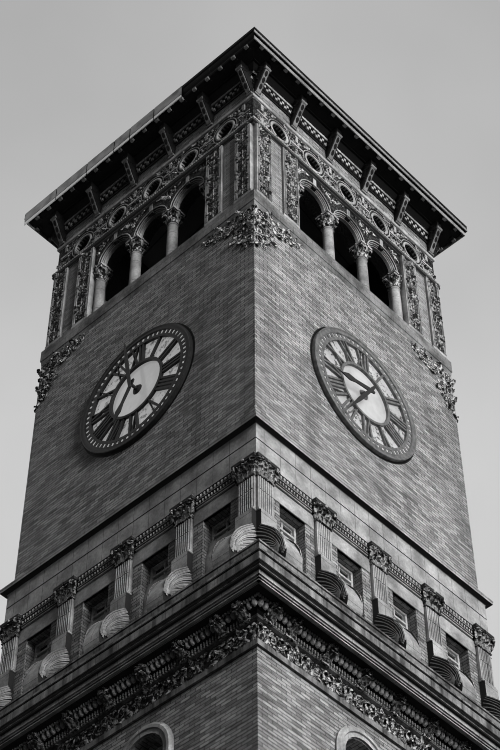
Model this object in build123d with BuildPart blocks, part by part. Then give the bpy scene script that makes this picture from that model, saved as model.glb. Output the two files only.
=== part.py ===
"""Square clock tower in brick, terracotta and stone, in the Italian Renaissance manner.

Millimetres, +Z up, origin at the centre of the foundation's underside. The front looks along -Y.
From the ground up: a plain brick shaft with paired round-headed windows, a great modillion
cornice, a storey of short fluted pilasters and square windows, the clock storey with one
cast-iron dial a face, an open belfry of three arches a face, an oculus frieze, and wide eaves
on raking coffered brackets under a low hipped roof.
"""

from build123d import *
import math
import os

os.makedirs("parts", exist_ok=True)

# Plan: from the axis to the wall faces of each stage, and the walls' thicknesses
LOWER_HALF = 3110.0
SHAFT_HALF = 3050.0
PIER_HALF = 3045.0
UPPER_HALF = 2985.0
LOWER_WALL = 700.0
SHAFT_WALL = 550.0
UPPER_WALL = 385.0
MITRE_JOINT = 2.0

# Curved outlines are drawn with this many chords a bow, and arches with this many sides a circle
BOW_CHORDS = 3
SCROLL_CHORDS = 5
ARCH_SIDES = 24
COLUMN_SIDES = 16
BELL_SIDES = 8

# Heights above the ground
PLINTH_TOP = 1250.0
CORNICE_BOTTOM = 20673.0
CORNICE_TOP = 22062.0
LINTEL_BOTTOM = 24226.0
ARCHITRAVE_BOTTOM = 24868.0
ARCHITRAVE_GROOVE = 25311.0
SHAFT_BASE = 25628.0
SHAFT_BASE_TOP = 25776.0
DIAL_CENTRE = 29040.0
SILL_BOTTOM = 32190.0
SILL_FACE = 32318.0
SILL_TOP = 32644.0
ARCH_SPRING = 34428.0
TORUS_BOTTOM = 35145.0
FRIEZE_BOTTOM = 35359.0
OCULUS_CENTRE = 35740.0
FRIEZE_TOP = 36195.0
BRICK_BAND = 36287.0
BED_MOULD = 36700.0
SOFFIT = 37265.0
EAVES_FILLET = 37338.0
EAVES_TOP = 37539.0
ROOF_APEX = 38740.0

# Floors
FLOOR_THICKNESS = 300.0
STOREY_HEIGHT = 5600.0
STOREYS = 3

# Paired round-headed windows of the lower shaft
PAIR_SPACING = 1500.0
LOWER_WINDOW_RADIUS = 442.0
LOWER_WINDOW_SPRING = 19797.0
LOWER_WINDOW_DROP = 2050.0
GLASS_THICKNESS = 20.0

# Pilaster storey
PILASTER_SPACING = 1443.0
PILASTER_WIDTH = 366.0
PILASTER_PROJECTION = 70.0
PILASTER_FOOT = 23589.0
CAPITAL_BOTTOM = 24420.0
CAPITAL_WIDTH = 530.0
CAPITAL_PROJECTION = 150.0
ABACUS_HEIGHT = 70.0
ABACUS_EDGE = 30.0
LEAF_BAND_BOTTOM = 24580.0
LEAF_BAND_DEPTH = 45.0
SQUARE_WINDOW_WIDTH = 631.0
SQUARE_WINDOW_BOTTOM = 22600.0
REVEAL_DEPTH = 250.0
SASH_SECTION = 60.0
APRON_TOP = 23800.0
APRON_BELLY = 90.0
CONSOLE_TOP = 23240.0
CONSOLE_REACH = 645.0
PEDESTAL_STEP = 60.0
SCROLL_NOSE = 340.0
SCROLL_TUCK = 75.0
SCROLL_SWELL = 70.0

# Great cornice
MODILLION_SPACING = 823.0
MODILLION_WIDTH = 220.0
CORNER_MODILLION = 2928.0

# Clock
RIM_RADIUS = 1483.0
RIM_INNER_RADIUS = 1372.0
RIM_DEPTH = 87.0
INNER_RING_RADIUS = 716.0
INNER_RING_BORE = 656.0
INNER_RING_DEPTH = 45.0
DIAL_OPENING_RADIUS = 1425.0
DIAL_OPENING_SIDES = 12
RIM_SIDES = 24
BOSS_SIDES = 12
ARBOR_RADIUS = 20.0
PIPE_RADIUS = 34.0
BOSS_RADIUS = 50.0
BOSS_FLANGE_RADIUS = 90.0
BOSS_FLANGE_DEPTH = 22.0
BOSS_TAIL = 100.0
RUNNING_CLEARANCE = 0.06
HOUR_HAND_STANDOFF = 165.0
MINUTE_HAND_STANDOFF = 205.0
HAND_THICKNESS = 20.0
MINUTE_HAND_LENGTH = 1440.0
HOUR_HAND_LENGTH = 880.0
DIAL_TIMES = {"front": (8, 35.5), "right": (8, 35.5), "back": (8, 35.5), "left": (6, 58.4)}

# Terracotta corner pieces below the belfry sill
CORNER_PIECE_REACH = 1342.0
CORNER_PIECE_LEG = 518.0
CORNER_PIECE_DROP = 1300.0
CORNER_PIECE_BAND = 477.0
CORNER_PIECE_DEPTH = 45.0

# Belfry
ARCH_SPACING = 1088.0
ARCH_RADIUS = 390.0
ARCH_OUTER_ORDER = 470.0
ORDER_DEPTH = 70.0
KEYSTONE_WIDTH = 120.0
KEYSTONE_PROJECTION = 8.0
PIER_EDGE = 1708.0
PIER_WALL = 445.0
INNER_PANEL_END = 2162.0
OUTER_PANEL_START = 2532.0
CORNER_NOTCH = 77.0
PANEL_PROJECTION = 35.0
PIER_BASE_HEIGHT = 106.0
PIER_BASE_GROWTH = 20.0
COLUMN_RADIUS = 118.0
COLUMN_TOP_RADIUS = 110.0
COLUMN_SETBACK = 214.0
COLUMN_BASE_WIDTH = 310.0
COLUMN_BASE_HEIGHT = 80.0
COLUMN_TORUS_RADIUS = 150.0
COLUMN_TORUS_HEIGHT = 75.0
COLUMN_CAPITAL_BOTTOM = 34005.0
COLUMN_ABACUS_HEIGHT = 55.0
COLUMN_ABACUS_WIDTH = 350.0
COLUMN_BELL_STEP = 12.0
OCULUS_SPACING = 1089.0
OCULUS_RADIUS = 220.0
OCULUS_SIDES = 16

# Eaves and roof
BRACKET_SPACING = 1159.0
BRACKET_WIDTH = 160.0
BRACKET_FOOT = 36363.0
BRACKET_REACH = 365.0
EAVES_FILLET_HALF = 3535.0
EAVES_HALF = 3614.0
ROOF_HALF = 3560.0
ROOF_CAP_HALF = 100.0
ROOF_THICKNESS = 120.0

FACES = {"front": 0.0, "right": 90.0, "back": 180.0, "left": 270.0}


def face_plane(turn, distance):
    """Plane on a face of the tower: x to the right as seen from outside, y up, z outwards."""
    angle = math.radians(turn)
    outward = Vector(math.sin(angle), -math.cos(angle), 0)
    rightward = Vector(math.cos(angle), math.sin(angle), 0)
    return Plane(origin=outward * distance, x_dir=rightward, z_dir=outward)


def section_plane(turn, sideways):
    """Plane square to a face: x outwards from the tower's axis, y up."""
    angle = math.radians(turn)
    outward = Vector(math.sin(angle), -math.cos(angle), 0)
    rightward = Vector(math.cos(angle), math.sin(angle), 0)
    return Plane(origin=rightward * sideways, x_dir=outward, z_dir=-rightward)


def plan_point(turn, outward, sideways):
    """Plan point of a face, from its distances outwards and to the right."""
    angle = math.radians(turn)
    x = outward * math.sin(angle) + sideways * math.cos(angle)
    y = sideways * math.sin(angle) - outward * math.cos(angle)
    return (x, y)


def draw_outline(points, chords=BOW_CHORDS):
    """Closed outline; a third number on a point bows the run that leads to it by that much."""
    drawn = []
    for index, end in enumerate(points):
        start = points[index - 1]
        if len(end) > 2:
            run_x = end[0] - start[0]
            run_y = end[1] - start[1]
            for step in range(1, chords):
                share = step / chords
                lift = 4 * end[2] * share * (1 - share) / math.hypot(run_x, run_y)
                drawn.append((
                    start[0] + run_x * share - run_y * lift,
                    start[1] + run_y * share + run_x * lift,
                ))
        drawn.append(end[:2])
    Polyline(*drawn, close=True)


def write(piece, label):
    piece.part.label = label
    export_step(piece.part, f"parts/{label}.step")


def moulded_courses(label, *outlines):
    """Courses round the tower, each in four lengths that are mitred with an open joint."""
    lengths = []
    for outline in outlines:
        low = min(point[1] for point in outline)
        high = max(point[1] for point in outline)
        reach = 2 * max(point[0] for point in outline)
        for turn in FACES.values():
            with BuildPart() as length:
                with BuildSketch(section_plane(turn, 0)):
                    with BuildLine():
                        draw_outline(outline)
                    make_face()
                extrude(amount=reach / 2, both=True)
                with BuildSketch(Plane.XY.offset(low)):
                    with BuildLine():
                        tip = plan_point(turn, MITRE_JOINT, 0)
                        left_end = plan_point(turn, reach + MITRE_JOINT, -reach)
                        right_end = plan_point(turn, reach + MITRE_JOINT, reach)
                        Polyline(tip, left_end, right_end, close=True)
                    make_face()
                extrude(amount=high - low, mode=Mode.INTERSECT)
            lengths.append(length.part)
    with BuildPart() as courses:
        add(lengths)
    write(courses, label)


def wall_half_width(name, front, thickness):
    """The front and back walls run through, and the side walls stand between them."""
    return front if name in ("front", "back") else front - thickness


def spaced(spacing, count):
    """Places of a row of things, centred on the face."""
    return [(index - (count - 1) / 2) * spacing for index in range(count)]


# Plinth of dressed stone round the foot of the walls
moulded_courses("base_plinth", [
    (LOWER_HALF, 0),
    (LOWER_HALF + 130, 0),
    (LOWER_HALF + 130, PLINTH_TOP - 250),
    (LOWER_HALF + 90, PLINTH_TOP - 210),
    (LOWER_HALF + 90, PLINTH_TOP - 90),
    (LOWER_HALF + 30, PLINTH_TOP, 25),
    (LOWER_HALF, PLINTH_TOP),
])

# Walls of the lower shaft, with paired round-headed windows on each storey
storey_springs = [LOWER_WINDOW_SPRING - index * STOREY_HEIGHT for index in range(STOREYS)]
for name, turn in FACES.items():
    half_width = wall_half_width(name, LOWER_HALF, LOWER_WALL)
    with BuildPart() as lower_wall:
        with BuildSketch(face_plane(turn, LOWER_HALF)):
            with Locations((0, CORNICE_TOP / 2)):
                Rectangle(2 * half_width, CORNICE_TOP)
            for spring in storey_springs:
                for across in spaced(PAIR_SPACING, 2):
                    with Locations((across, spring - LOWER_WINDOW_DROP / 2)):
                        Rectangle(2 * LOWER_WINDOW_RADIUS, LOWER_WINDOW_DROP, mode=Mode.SUBTRACT)
                    with Locations((across, spring)):
                        RegularPolygon(LOWER_WINDOW_RADIUS, ARCH_SIDES, mode=Mode.SUBTRACT)
        extrude(amount=-LOWER_WALL)
    write(lower_wall, f"lower_wall_{name}")

LOWER_INNER = LOWER_HALF - LOWER_WALL

# Floors: one below each row of windows, and those of the pilaster, clock and belfry storeys
floors = [(FLOOR_THICKNESS, LOWER_INNER)]
for spring in storey_springs:
    floors.append((spring - LOWER_WINDOW_DROP - 700, LOWER_INNER))
floors.append((CORNICE_TOP + FLOOR_THICKNESS, SHAFT_HALF - SHAFT_WALL))
floors.append((SHAFT_BASE_TOP, SHAFT_HALF - SHAFT_WALL))
floors.append((SILL_TOP, SHAFT_HALF - SHAFT_WALL))
with BuildPart() as floor_slabs:
    for top, half_span in floors:
        with BuildSketch(Plane.XY.offset(top - FLOOR_THICKNESS)):
            Rectangle(2 * half_span, 2 * half_span)
        extrude(amount=FLOOR_THICKNESS)
write(floor_slabs, "floor_slabs")

# Great cornice: weathered crown, corona, soffit with bed moulds, fascia and scroll frieze
moulded_courses("main_cornice", [
    (LOWER_HALF, CORNICE_BOTTOM),
    (LOWER_HALF + 50, CORNICE_BOTTOM),
    (LOWER_HALF + 50, CORNICE_BOTTOM + 110),
    (LOWER_HALF + 20, CORNICE_BOTTOM + 120),
    (LOWER_HALF + 20, CORNICE_TOP - 890),
    (LOWER_HALF + 70, CORNICE_TOP - 870),
    (LOWER_HALF + 60, CORNICE_TOP - 850),
    (LOWER_HALF + 60, CORNICE_TOP - 700),
    (LOWER_HALF + 190, CORNICE_TOP - 592, -35),
    (LOWER_HALF + 400, CORNICE_TOP - 592),
    (LOWER_HALF + 440, CORNICE_TOP - 562),
    (LOWER_HALF + 600, CORNICE_TOP - 562),
    (LOWER_HALF + 600, CORNICE_TOP - 602),
    (LOWER_HALF + 640, CORNICE_TOP - 602),
    (LOWER_HALF + 640, CORNICE_TOP - 545),
    (LOWER_HALF + 662, CORNICE_TOP - 535),
    (LOWER_HALF + 662, CORNICE_TOP - 505),
    (LOWER_HALF + 687, CORNICE_TOP - 495),
    (LOWER_HALF + 687, CORNICE_TOP - 345),
    (LOWER_HALF + 662, CORNICE_TOP - 335),
    (LOWER_HALF + 662, CORNICE_TOP - 318),
    (LOWER_HALF + 701, CORNICE_TOP - 308),
    (LOWER_HALF + 701, CORNICE_TOP - 268),
    (LOWER_HALF + 650, CORNICE_TOP - 258),
    (LOWER_HALF + 620, CORNICE_TOP - 70, 25),
    (LOWER_HALF + 600, CORNICE_TOP - 60),
    (LOWER_HALF + 600, CORNICE_TOP - 45),
    (LOWER_HALF + 625, CORNICE_TOP - 35),
    (LOWER_HALF + 625, CORNICE_TOP),
    (LOWER_HALF, CORNICE_TOP),
])

# Scrolled modillions under the corona
MODILLION_TOP = CORNICE_TOP - 592
modillion_row = spaced(MODILLION_SPACING, 7) + [-CORNER_MODILLION, CORNER_MODILLION]
with BuildPart() as cornice_modillions:
    for turn in FACES.values():
        for across in modillion_row:
            with BuildSketch(section_plane(turn, across)):
                with BuildLine():
                    draw_outline([
                        (LOWER_HALF + 190, MODILLION_TOP),
                        (LOWER_HALF + 190, MODILLION_TOP - 120),
                        (LOWER_HALF + 330, MODILLION_TOP - 90, 15),
                        (LOWER_HALF + 395, MODILLION_TOP, -45),
                    ])
                make_face()
            extrude(amount=MODILLION_WIDTH / 2, both=True)
write(cornice_modillions, "cornice_modillions")

# Walls of the pilaster storey, each with four square-headed windows
for name, turn in FACES.items():
    half_width = wall_half_width(name, SHAFT_HALF, SHAFT_WALL)
    with BuildPart() as stage_wall:
        with BuildSketch(face_plane(turn, SHAFT_HALF)):
            with Locations((0, (CORNICE_TOP + SHAFT_BASE_TOP) / 2)):
                Rectangle(2 * half_width, SHAFT_BASE_TOP - CORNICE_TOP)
            window_height = LINTEL_BOTTOM - SQUARE_WINDOW_BOTTOM
            window_middle = (LINTEL_BOTTOM + SQUARE_WINDOW_BOTTOM) / 2
            with Locations([(across, window_middle) for across in spaced(PILASTER_SPACING, 4)]):
                Rectangle(SQUARE_WINDOW_WIDTH, window_height, mode=Mode.SUBTRACT)
        extrude(amount=-SHAFT_WALL)
    write(stage_wall, f"pilaster_storey_wall_{name}")

# Sash frames and their panes, set deep in the reveals
SASH_FACE = SHAFT_HALF - REVEAL_DEPTH
with BuildPart() as sash_frames:
    for turn in FACES.values():
        with BuildSketch(face_plane(turn, SASH_FACE)):
            for across in spaced(PILASTER_SPACING, 4):
                with Locations((across, window_middle)):
                    Rectangle(SQUARE_WINDOW_WIDTH, window_height)
                    Rectangle(
                        SQUARE_WINDOW_WIDTH - 2 * SASH_SECTION,
                        window_height - 2 * SASH_SECTION,
                        mode=Mode.SUBTRACT,
                    )
        extrude(amount=-SASH_SECTION)
write(sash_frames, "sash_frames")

# Glass: one sheet inside each pair of lower windows, and a pane in each sash
SHEET_OVERLAP = 60.0
sheet_width = PAIR_SPACING + 2 * (LOWER_WINDOW_RADIUS + SHEET_OVERLAP)
sheet_height = LOWER_WINDOW_DROP + LOWER_WINDOW_RADIUS + 2 * SHEET_OVERLAP
sheet_rise = (LOWER_WINDOW_RADIUS - LOWER_WINDOW_DROP) / 2
with BuildPart() as window_glass:
    for turn in FACES.values():
        with BuildSketch(face_plane(turn, LOWER_INNER)):
            with Locations([(0, spring + sheet_rise) for spring in storey_springs]):
                Rectangle(sheet_width, sheet_height)
        extrude(amount=-GLASS_THICKNESS)
        with BuildSketch(face_plane(turn, SASH_FACE - SASH_SECTION / 2)):
            with Locations([(across, window_middle) for across in spaced(PILASTER_SPACING, 4)]):
                Rectangle(SQUARE_WINDOW_WIDTH - 2 * SASH_SECTION, window_height - 2 * SASH_SECTION)
        extrude(amount=-GLASS_THICKNESS)
write(window_glass, "window_glass")

# Bowed terracotta aprons that close the feet of the square windows
APRON_FACE = SHAFT_HALF - 150.0
with BuildPart() as window_aprons:
    for turn in FACES.values():
        for across in spaced(PILASTER_SPACING, 4):
            with BuildSketch(section_plane(turn, across)):
                with BuildLine():
                    draw_outline([
                        (SASH_FACE, SQUARE_WINDOW_BOTTOM),
                        (APRON_FACE, SQUARE_WINDOW_BOTTOM),
                        (APRON_FACE, APRON_TOP, -APRON_BELLY),
                        (SASH_FACE, APRON_TOP),
                    ])
                make_face()
            extrude(amount=SQUARE_WINDOW_WIDTH / 2, both=True)
write(window_aprons, "window_aprons")

# Pilasters: five a face, where the outermost two meet those of the next face in a notched corner
PILASTER_FACE = SHAFT_HALF + PILASTER_PROJECTION
pilaster_row = spaced(PILASTER_SPACING, 5)
with BuildPart() as pilasters:
    for turn in FACES.values():
        with BuildSketch(face_plane(turn, SHAFT_HALF)):
            with Locations([(across, (PILASTER_FOOT + CAPITAL_BOTTOM) / 2) for across in pilaster_row]):
                Rectangle(PILASTER_WIDTH, CAPITAL_BOTTOM - PILASTER_FOOT)
        extrude(amount=PILASTER_PROJECTION)
write(pilasters, "pilasters")

# Capitals: a bell that spreads sideways and forwards from the pilaster, under a square abacus
ABACUS_BOTTOM = ARCHITRAVE_BOTTOM - ABACUS_HEIGHT
ABACUS_FACE = SHAFT_HALF + CAPITAL_PROJECTION
BELL_FACE = ABACUS_FACE - ABACUS_EDGE
bell_top_half = CAPITAL_WIDTH / 2 - ABACUS_EDGE
with BuildPart() as pilaster_capitals:
    for turn in FACES.values():
        with BuildSketch(face_plane(turn, SHAFT_HALF)):
            for across in pilaster_row:
                with BuildLine():
                    Polyline(
                        (across - PILASTER_WIDTH / 2, CAPITAL_BOTTOM),
                        (across + PILASTER_WIDTH / 2, CAPITAL_BOTTOM),
                        (across + bell_top_half, ABACUS_BOTTOM),
                        (across - bell_top_half, ABACUS_BOTTOM),
                        close=True,
                    )
                make_face()
        extrude(amount=BELL_FACE - SHAFT_HALF)
    for turn in FACES.values():
        with BuildSketch(section_plane(turn, 0)):
            with BuildLine():
                Polyline(
                    (PILASTER_FACE, CAPITAL_BOTTOM),
                    (ABACUS_FACE, CAPITAL_BOTTOM),
                    (ABACUS_FACE, ABACUS_BOTTOM),
                    (BELL_FACE, ABACUS_BOTTOM),
                    close=True,
                )
            make_face()
        extrude(amount=ABACUS_FACE, both=True, mode=Mode.SUBTRACT)
    for turn in FACES.values():
        with BuildSketch(face_plane(turn, SHAFT_HALF)):
            with Locations([(across, (ABACUS_BOTTOM + ARCHITRAVE_BOTTOM) / 2) for across in pilaster_row]):
                Rectangle(CAPITAL_WIDTH, ABACUS_HEIGHT)
        extrude(amount=CAPITAL_PROJECTION)
write(pilaster_capitals, "pilaster_capitals")

# Leaf band on the wall between the capitals
with BuildPart() as leaf_bands:
    for turn in FACES.values():
        with BuildSketch(face_plane(turn, SHAFT_HALF)):
            with Locations([(across, (LEAF_BAND_BOTTOM + ARCHITRAVE_BOTTOM) / 2)
                            for across in spaced(PILASTER_SPACING, 4)]):
                Rectangle(PILASTER_SPACING - CAPITAL_WIDTH, ARCHITRAVE_BOTTOM - LEAF_BAND_BOTTOM)
        extrude(amount=LEAF_BAND_DEPTH)
write(leaf_bands, "leaf_bands")

# Consoles on the great cornice: a deep scroll under the pedestal block of each pilaster
PEDESTAL_FACE = PILASTER_FACE + PEDESTAL_STEP
SCROLL_FACE = SHAFT_HALF + CONSOLE_REACH
with BuildPart() as scroll_consoles:
    for turn in FACES.values():
        for across in pilaster_row:
            with BuildSketch(section_plane(turn, across)):
                with BuildLine():
                    draw_outline([
                        (SHAFT_HALF, CORNICE_TOP),
                        (SCROLL_FACE - SCROLL_TUCK, CORNICE_TOP),
                        (SCROLL_FACE, CORNICE_TOP + SCROLL_NOSE, -SCROLL_TUCK / 2),
                        (PEDESTAL_FACE, CONSOLE_TOP, -SCROLL_SWELL),
                        (PEDESTAL_FACE, PILASTER_FOOT),
                        (SHAFT_HALF, PILASTER_FOOT),
                    ], SCROLL_CHORDS)
                make_face()
            extrude(amount=PILASTER_WIDTH / 2, both=True)
write(scroll_consoles, "scroll_consoles")

# Entablature: two fasciae of ashlar with a groove between, under the moulded base of the shaft
moulded_courses("entablature", [
    (SHAFT_HALF, ARCHITRAVE_BOTTOM),
    (SHAFT_HALF + 63, ARCHITRAVE_BOTTOM),
    (SHAFT_HALF + 63, ARCHITRAVE_GROOVE - 8),
    (SHAFT_HALF + 45, ARCHITRAVE_GROOVE),
    (SHAFT_HALF + 63, ARCHITRAVE_GROOVE + 8),
    (SHAFT_HALF + 63, SHAFT_BASE),
    (SHAFT_HALF + 100, SHAFT_BASE + 50, 12),
    (SHAFT_HALF + 170, SHAFT_BASE + 60),
    (SHAFT_HALF + 170, SHAFT_BASE + 105),
    (SHAFT_HALF + 180, SHAFT_BASE_TOP - 25),
    (SHAFT_HALF + 180, SHAFT_BASE_TOP),
    (SHAFT_HALF, SHAFT_BASE_TOP),
])

# Clock storey walls, each with the many-sided opening that the dial's glass closes
for name, turn in FACES.items():
    half_width = wall_half_width(name, SHAFT_HALF, SHAFT_WALL)
    with BuildPart() as clock_wall:
        with BuildSketch(face_plane(turn, SHAFT_HALF)):
            with Locations((0, (SHAFT_BASE_TOP + SILL_BOTTOM) / 2)):
                Rectangle(2 * half_width, SILL_BOTTOM - SHAFT_BASE_TOP)
            with Locations((0, DIAL_CENTRE)):
                RegularPolygon(DIAL_OPENING_RADIUS, DIAL_OPENING_SIDES, mode=Mode.SUBTRACT)
        extrude(amount=-SHAFT_WALL)
    write(clock_wall, f"clock_wall_{name}")

# Opal glass of the dials, flush with the wall and pierced for the hour pipe's bearing
with BuildPart() as dial_glass:
    for turn in FACES.values():
        with BuildSketch(face_plane(turn, SHAFT_HALF)):
            with Locations((0, DIAL_CENTRE)):
                RegularPolygon(DIAL_OPENING_RADIUS, DIAL_OPENING_SIDES)
                RegularPolygon(BOSS_RADIUS, BOSS_SIDES, mode=Mode.SUBTRACT)
        extrude(amount=-GLASS_THICKNESS)
write(dial_glass, "dial_glass")

# Cast-iron dials: a deep rim drawn with chords, the ring inside the hours, and the bearing
with BuildPart() as clock_dials:
    for turn in FACES.values():
        with BuildSketch(face_plane(turn, SHAFT_HALF)):
            with Locations((0, DIAL_CENTRE)):
                RegularPolygon(RIM_RADIUS, RIM_SIDES)
                RegularPolygon(RIM_INNER_RADIUS, RIM_SIDES, mode=Mode.SUBTRACT)
        extrude(amount=RIM_DEPTH)
        with BuildSketch(face_plane(turn, SHAFT_HALF)):
            with Locations((0, DIAL_CENTRE)):
                RegularPolygon(INNER_RING_RADIUS, RIM_SIDES)
                RegularPolygon(INNER_RING_BORE, RIM_SIDES, mode=Mode.SUBTRACT)
        extrude(amount=INNER_RING_DEPTH)
        with BuildSketch(face_plane(turn, SHAFT_HALF)):
            with Locations((0, DIAL_CENTRE)):
                RegularPolygon(BOSS_FLANGE_RADIUS, BOSS_SIDES)
        extrude(amount=BOSS_FLANGE_DEPTH)
        with BuildSketch(face_plane(turn, SHAFT_HALF)):
            with Locations((0, DIAL_CENTRE)):
                RegularPolygon(BOSS_RADIUS, BOSS_SIDES)
        extrude(amount=-BOSS_TAIL)
        with BuildSketch(face_plane(turn, SHAFT_HALF - BOSS_TAIL)):
            with Locations((0, DIAL_CENTRE)):
                Circle(PIPE_RADIUS + RUNNING_CLEARANCE)
        extrude(amount=BOSS_TAIL + BOSS_FLANGE_DEPTH, mode=Mode.SUBTRACT)
write(clock_dials, "clock_dials")


def hand_point(angle, along, across):
    """Point on a dial, from distances along and across a hand that stands at this clock angle."""
    x = along * math.sin(angle) + across * math.cos(angle)
    y = along * math.cos(angle) - across * math.sin(angle)
    return (x, y + DIAL_CENTRE)


def hand_outline(angle, half_widths):
    """Blade of a hand: half its width at distances along it, mirrored about its own line."""
    right = [hand_point(angle, along, half) for along, half in half_widths]
    left = [hand_point(angle, along, -half) for along, half in reversed(half_widths) if half]
    Polyline(*right, *left, close=True)


# Hands: the minute hand on its arbor, and the hour hand on a pipe that turns round the arbor
for name, turn in FACES.items():
    hours, minutes = DIAL_TIMES[name]
    minute_angle = math.radians(6 * minutes)
    hour_angle = math.radians(30 * (hours + minutes / 60))
    with BuildPart() as minute_hand:
        with BuildSketch(face_plane(turn, SHAFT_HALF + MINUTE_HAND_STANDOFF)):
            with BuildLine():
                hand_outline(minute_angle, [
                    (-150, 0), (-130, 32), (0, 40), (0.5 * MINUTE_HAND_LENGTH, 46),
                    (0.72 * MINUTE_HAND_LENGTH, 26), (MINUTE_HAND_LENGTH, 0),
                ])
            make_face()
        extrude(amount=HAND_THICKNESS)
        with BuildSketch(face_plane(turn, SHAFT_HALF - BOSS_TAIL)):
            with Locations((0, DIAL_CENTRE)):
                Circle(ARBOR_RADIUS)
        extrude(amount=BOSS_TAIL + MINUTE_HAND_STANDOFF + HAND_THICKNESS)
    write(minute_hand, f"minute_hand_{name}")
    with BuildPart() as hour_hand:
        with BuildSketch(face_plane(turn, SHAFT_HALF + HOUR_HAND_STANDOFF)):
            with BuildLine():
                hand_outline(hour_angle, [
                    (-140, 0), (-110, 40), (0, 55), (0.5 * HOUR_HAND_LENGTH, 42),
                    (0.72 * HOUR_HAND_LENGTH, 84), (HOUR_HAND_LENGTH, 0),
                ])
            make_face()
        extrude(amount=HAND_THICKNESS)
        with BuildSketch(face_plane(turn, SHAFT_HALF - BOSS_TAIL)):
            with Locations((0, DIAL_CENTRE)):
                Circle(PIPE_RADIUS)
        extrude(amount=BOSS_TAIL + HOUR_HAND_STANDOFF + HAND_THICKNESS)
        with BuildSketch(face_plane(turn, SHAFT_HALF - BOSS_TAIL)):
            with Locations((0, DIAL_CENTRE)):
                Circle(ARBOR_RADIUS + RUNNING_CLEARANCE)
        extrude(amount=BOSS_TAIL + HOUR_HAND_STANDOFF + HAND_THICKNESS, mode=Mode.SUBTRACT)
    write(hour_hand, f"hour_hand_{name}")

# L-shaped terracotta reliefs wrapped round the corners under the belfry sill
with BuildPart() as corner_reliefs:
    for turn in FACES.values():
        for side in (-1, 1):
            corner_u = side * (SHAFT_HALF + CORNER_PIECE_DEPTH)
            with BuildSketch(face_plane(turn, SHAFT_HALF)):
                with BuildLine():
                    Polyline(
                        (corner_u, SILL_BOTTOM),
                        (side * (SHAFT_HALF - CORNER_PIECE_REACH), SILL_BOTTOM),
                        (side * (SHAFT_HALF - CORNER_PIECE_REACH), SILL_BOTTOM - CORNER_PIECE_BAND),
                        (side * (SHAFT_HALF - CORNER_PIECE_LEG), SILL_BOTTOM - CORNER_PIECE_BAND),
                        (side * (SHAFT_HALF - CORNER_PIECE_LEG), SILL_BOTTOM - CORNER_PIECE_DROP),
                        (corner_u, SILL_BOTTOM - CORNER_PIECE_DROP),
                        close=True,
                    )
                make_face()
            extrude(amount=CORNER_PIECE_DEPTH)
write(corner_reliefs, "corner_reliefs")

# Stone sill course of the belfry, right through the wall
moulded_courses("belfry_sill", [
    (SHAFT_HALF - SHAFT_WALL, SILL_BOTTOM),
    (SHAFT_HALF + 4, SILL_BOTTOM),
    (SHAFT_HALF + 12, SILL_FACE - 30),
    (SHAFT_HALF + 28, SILL_FACE, 8),
    (SHAFT_HALF + 28, SILL_TOP),
    (SHAFT_HALF - SHAFT_WALL, SILL_TOP),
])


def pier_plan(turn, growth):
    """Plan of a corner pier: two relief pilasters a side, a recess between, a notched corner."""
    front = PIER_HALF + growth
    recess = PIER_HALF - PANEL_PROJECTION + growth
    notch = PIER_HALF - CORNER_NOTCH
    inside = PIER_HALF - PIER_WALL
    outline = [
        (inside, PIER_EDGE),
        (front, PIER_EDGE),
        (front, INNER_PANEL_END + growth),
        (recess, INNER_PANEL_END + growth),
        (recess, OUTER_PANEL_START - growth),
        (front, OUTER_PANEL_START - growth),
        (front, notch + growth),
    ]
    mirrored = [(sideways, outward) for outward, sideways in reversed(outline)]
    corner = [(notch + growth, notch + growth)]
    back = [(inside, inside)]
    points = outline + corner + mirrored + back
    Polyline(*[plan_point(turn, outward, sideways) for outward, sideways in points], close=True)


# Corner piers of the belfry, each on a base that follows its pilasters
with BuildPart() as belfry_piers:
    for turn in FACES.values():
        for bottom, top, growth in (
            (SILL_TOP, SILL_TOP + PIER_BASE_HEIGHT, PIER_BASE_GROWTH),
            (SILL_TOP + PIER_BASE_HEIGHT, TORUS_BOTTOM, 0),
        ):
            with BuildSketch(Plane.XY.offset(bottom)):
                with BuildLine():
                    pier_plan(turn, growth)
                make_face()
            extrude(amount=top - bottom)
write(belfry_piers, "belfry_piers")

# Columns: two free ones a face, and one against each pier
COLUMN_AXIS = SHAFT_HALF - COLUMN_SETBACK
column_row = spaced(ARCH_SPACING, 4)
COLUMN_ABACUS_BOTTOM = ARCH_SPRING - COLUMN_ABACUS_HEIGHT

with BuildPart() as belfry_columns:
    for turn in FACES.values():
        for across in column_row:
            place = plan_point(turn, COLUMN_AXIS, across)
            with BuildSketch(Plane.XY.offset(SILL_TOP)):
                with Locations(place):
                    Rectangle(COLUMN_BASE_WIDTH, COLUMN_BASE_WIDTH)
            extrude(amount=COLUMN_BASE_HEIGHT)
            with BuildSketch(Plane.XY.offset(SILL_TOP + COLUMN_BASE_HEIGHT)):
                with Locations(place):
                    RegularPolygon(COLUMN_TORUS_RADIUS, COLUMN_SIDES)
            extrude(amount=COLUMN_TORUS_HEIGHT)
            shaft_foot = SILL_TOP + COLUMN_BASE_HEIGHT + COLUMN_TORUS_HEIGHT
            shaft_height = COLUMN_CAPITAL_BOTTOM - shaft_foot
            with BuildSketch(Plane.XY.offset(shaft_foot)):
                with Locations(place):
                    RegularPolygon(COLUMN_RADIUS, COLUMN_SIDES)
            diminution = math.degrees(math.atan((COLUMN_RADIUS - COLUMN_TOP_RADIUS) / shaft_height))
            extrude(amount=shaft_height, taper=diminution)
    with BuildSketch(Plane.XY.offset(SILL_TOP)):
        Rectangle(2 * PIER_EDGE, 4 * SHAFT_HALF)
        Rectangle(4 * SHAFT_HALF, 2 * PIER_EDGE)
    extrude(amount=COLUMN_CAPITAL_BOTTOM - SILL_TOP, mode=Mode.INTERSECT)
write(belfry_columns, "belfry_columns")

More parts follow.
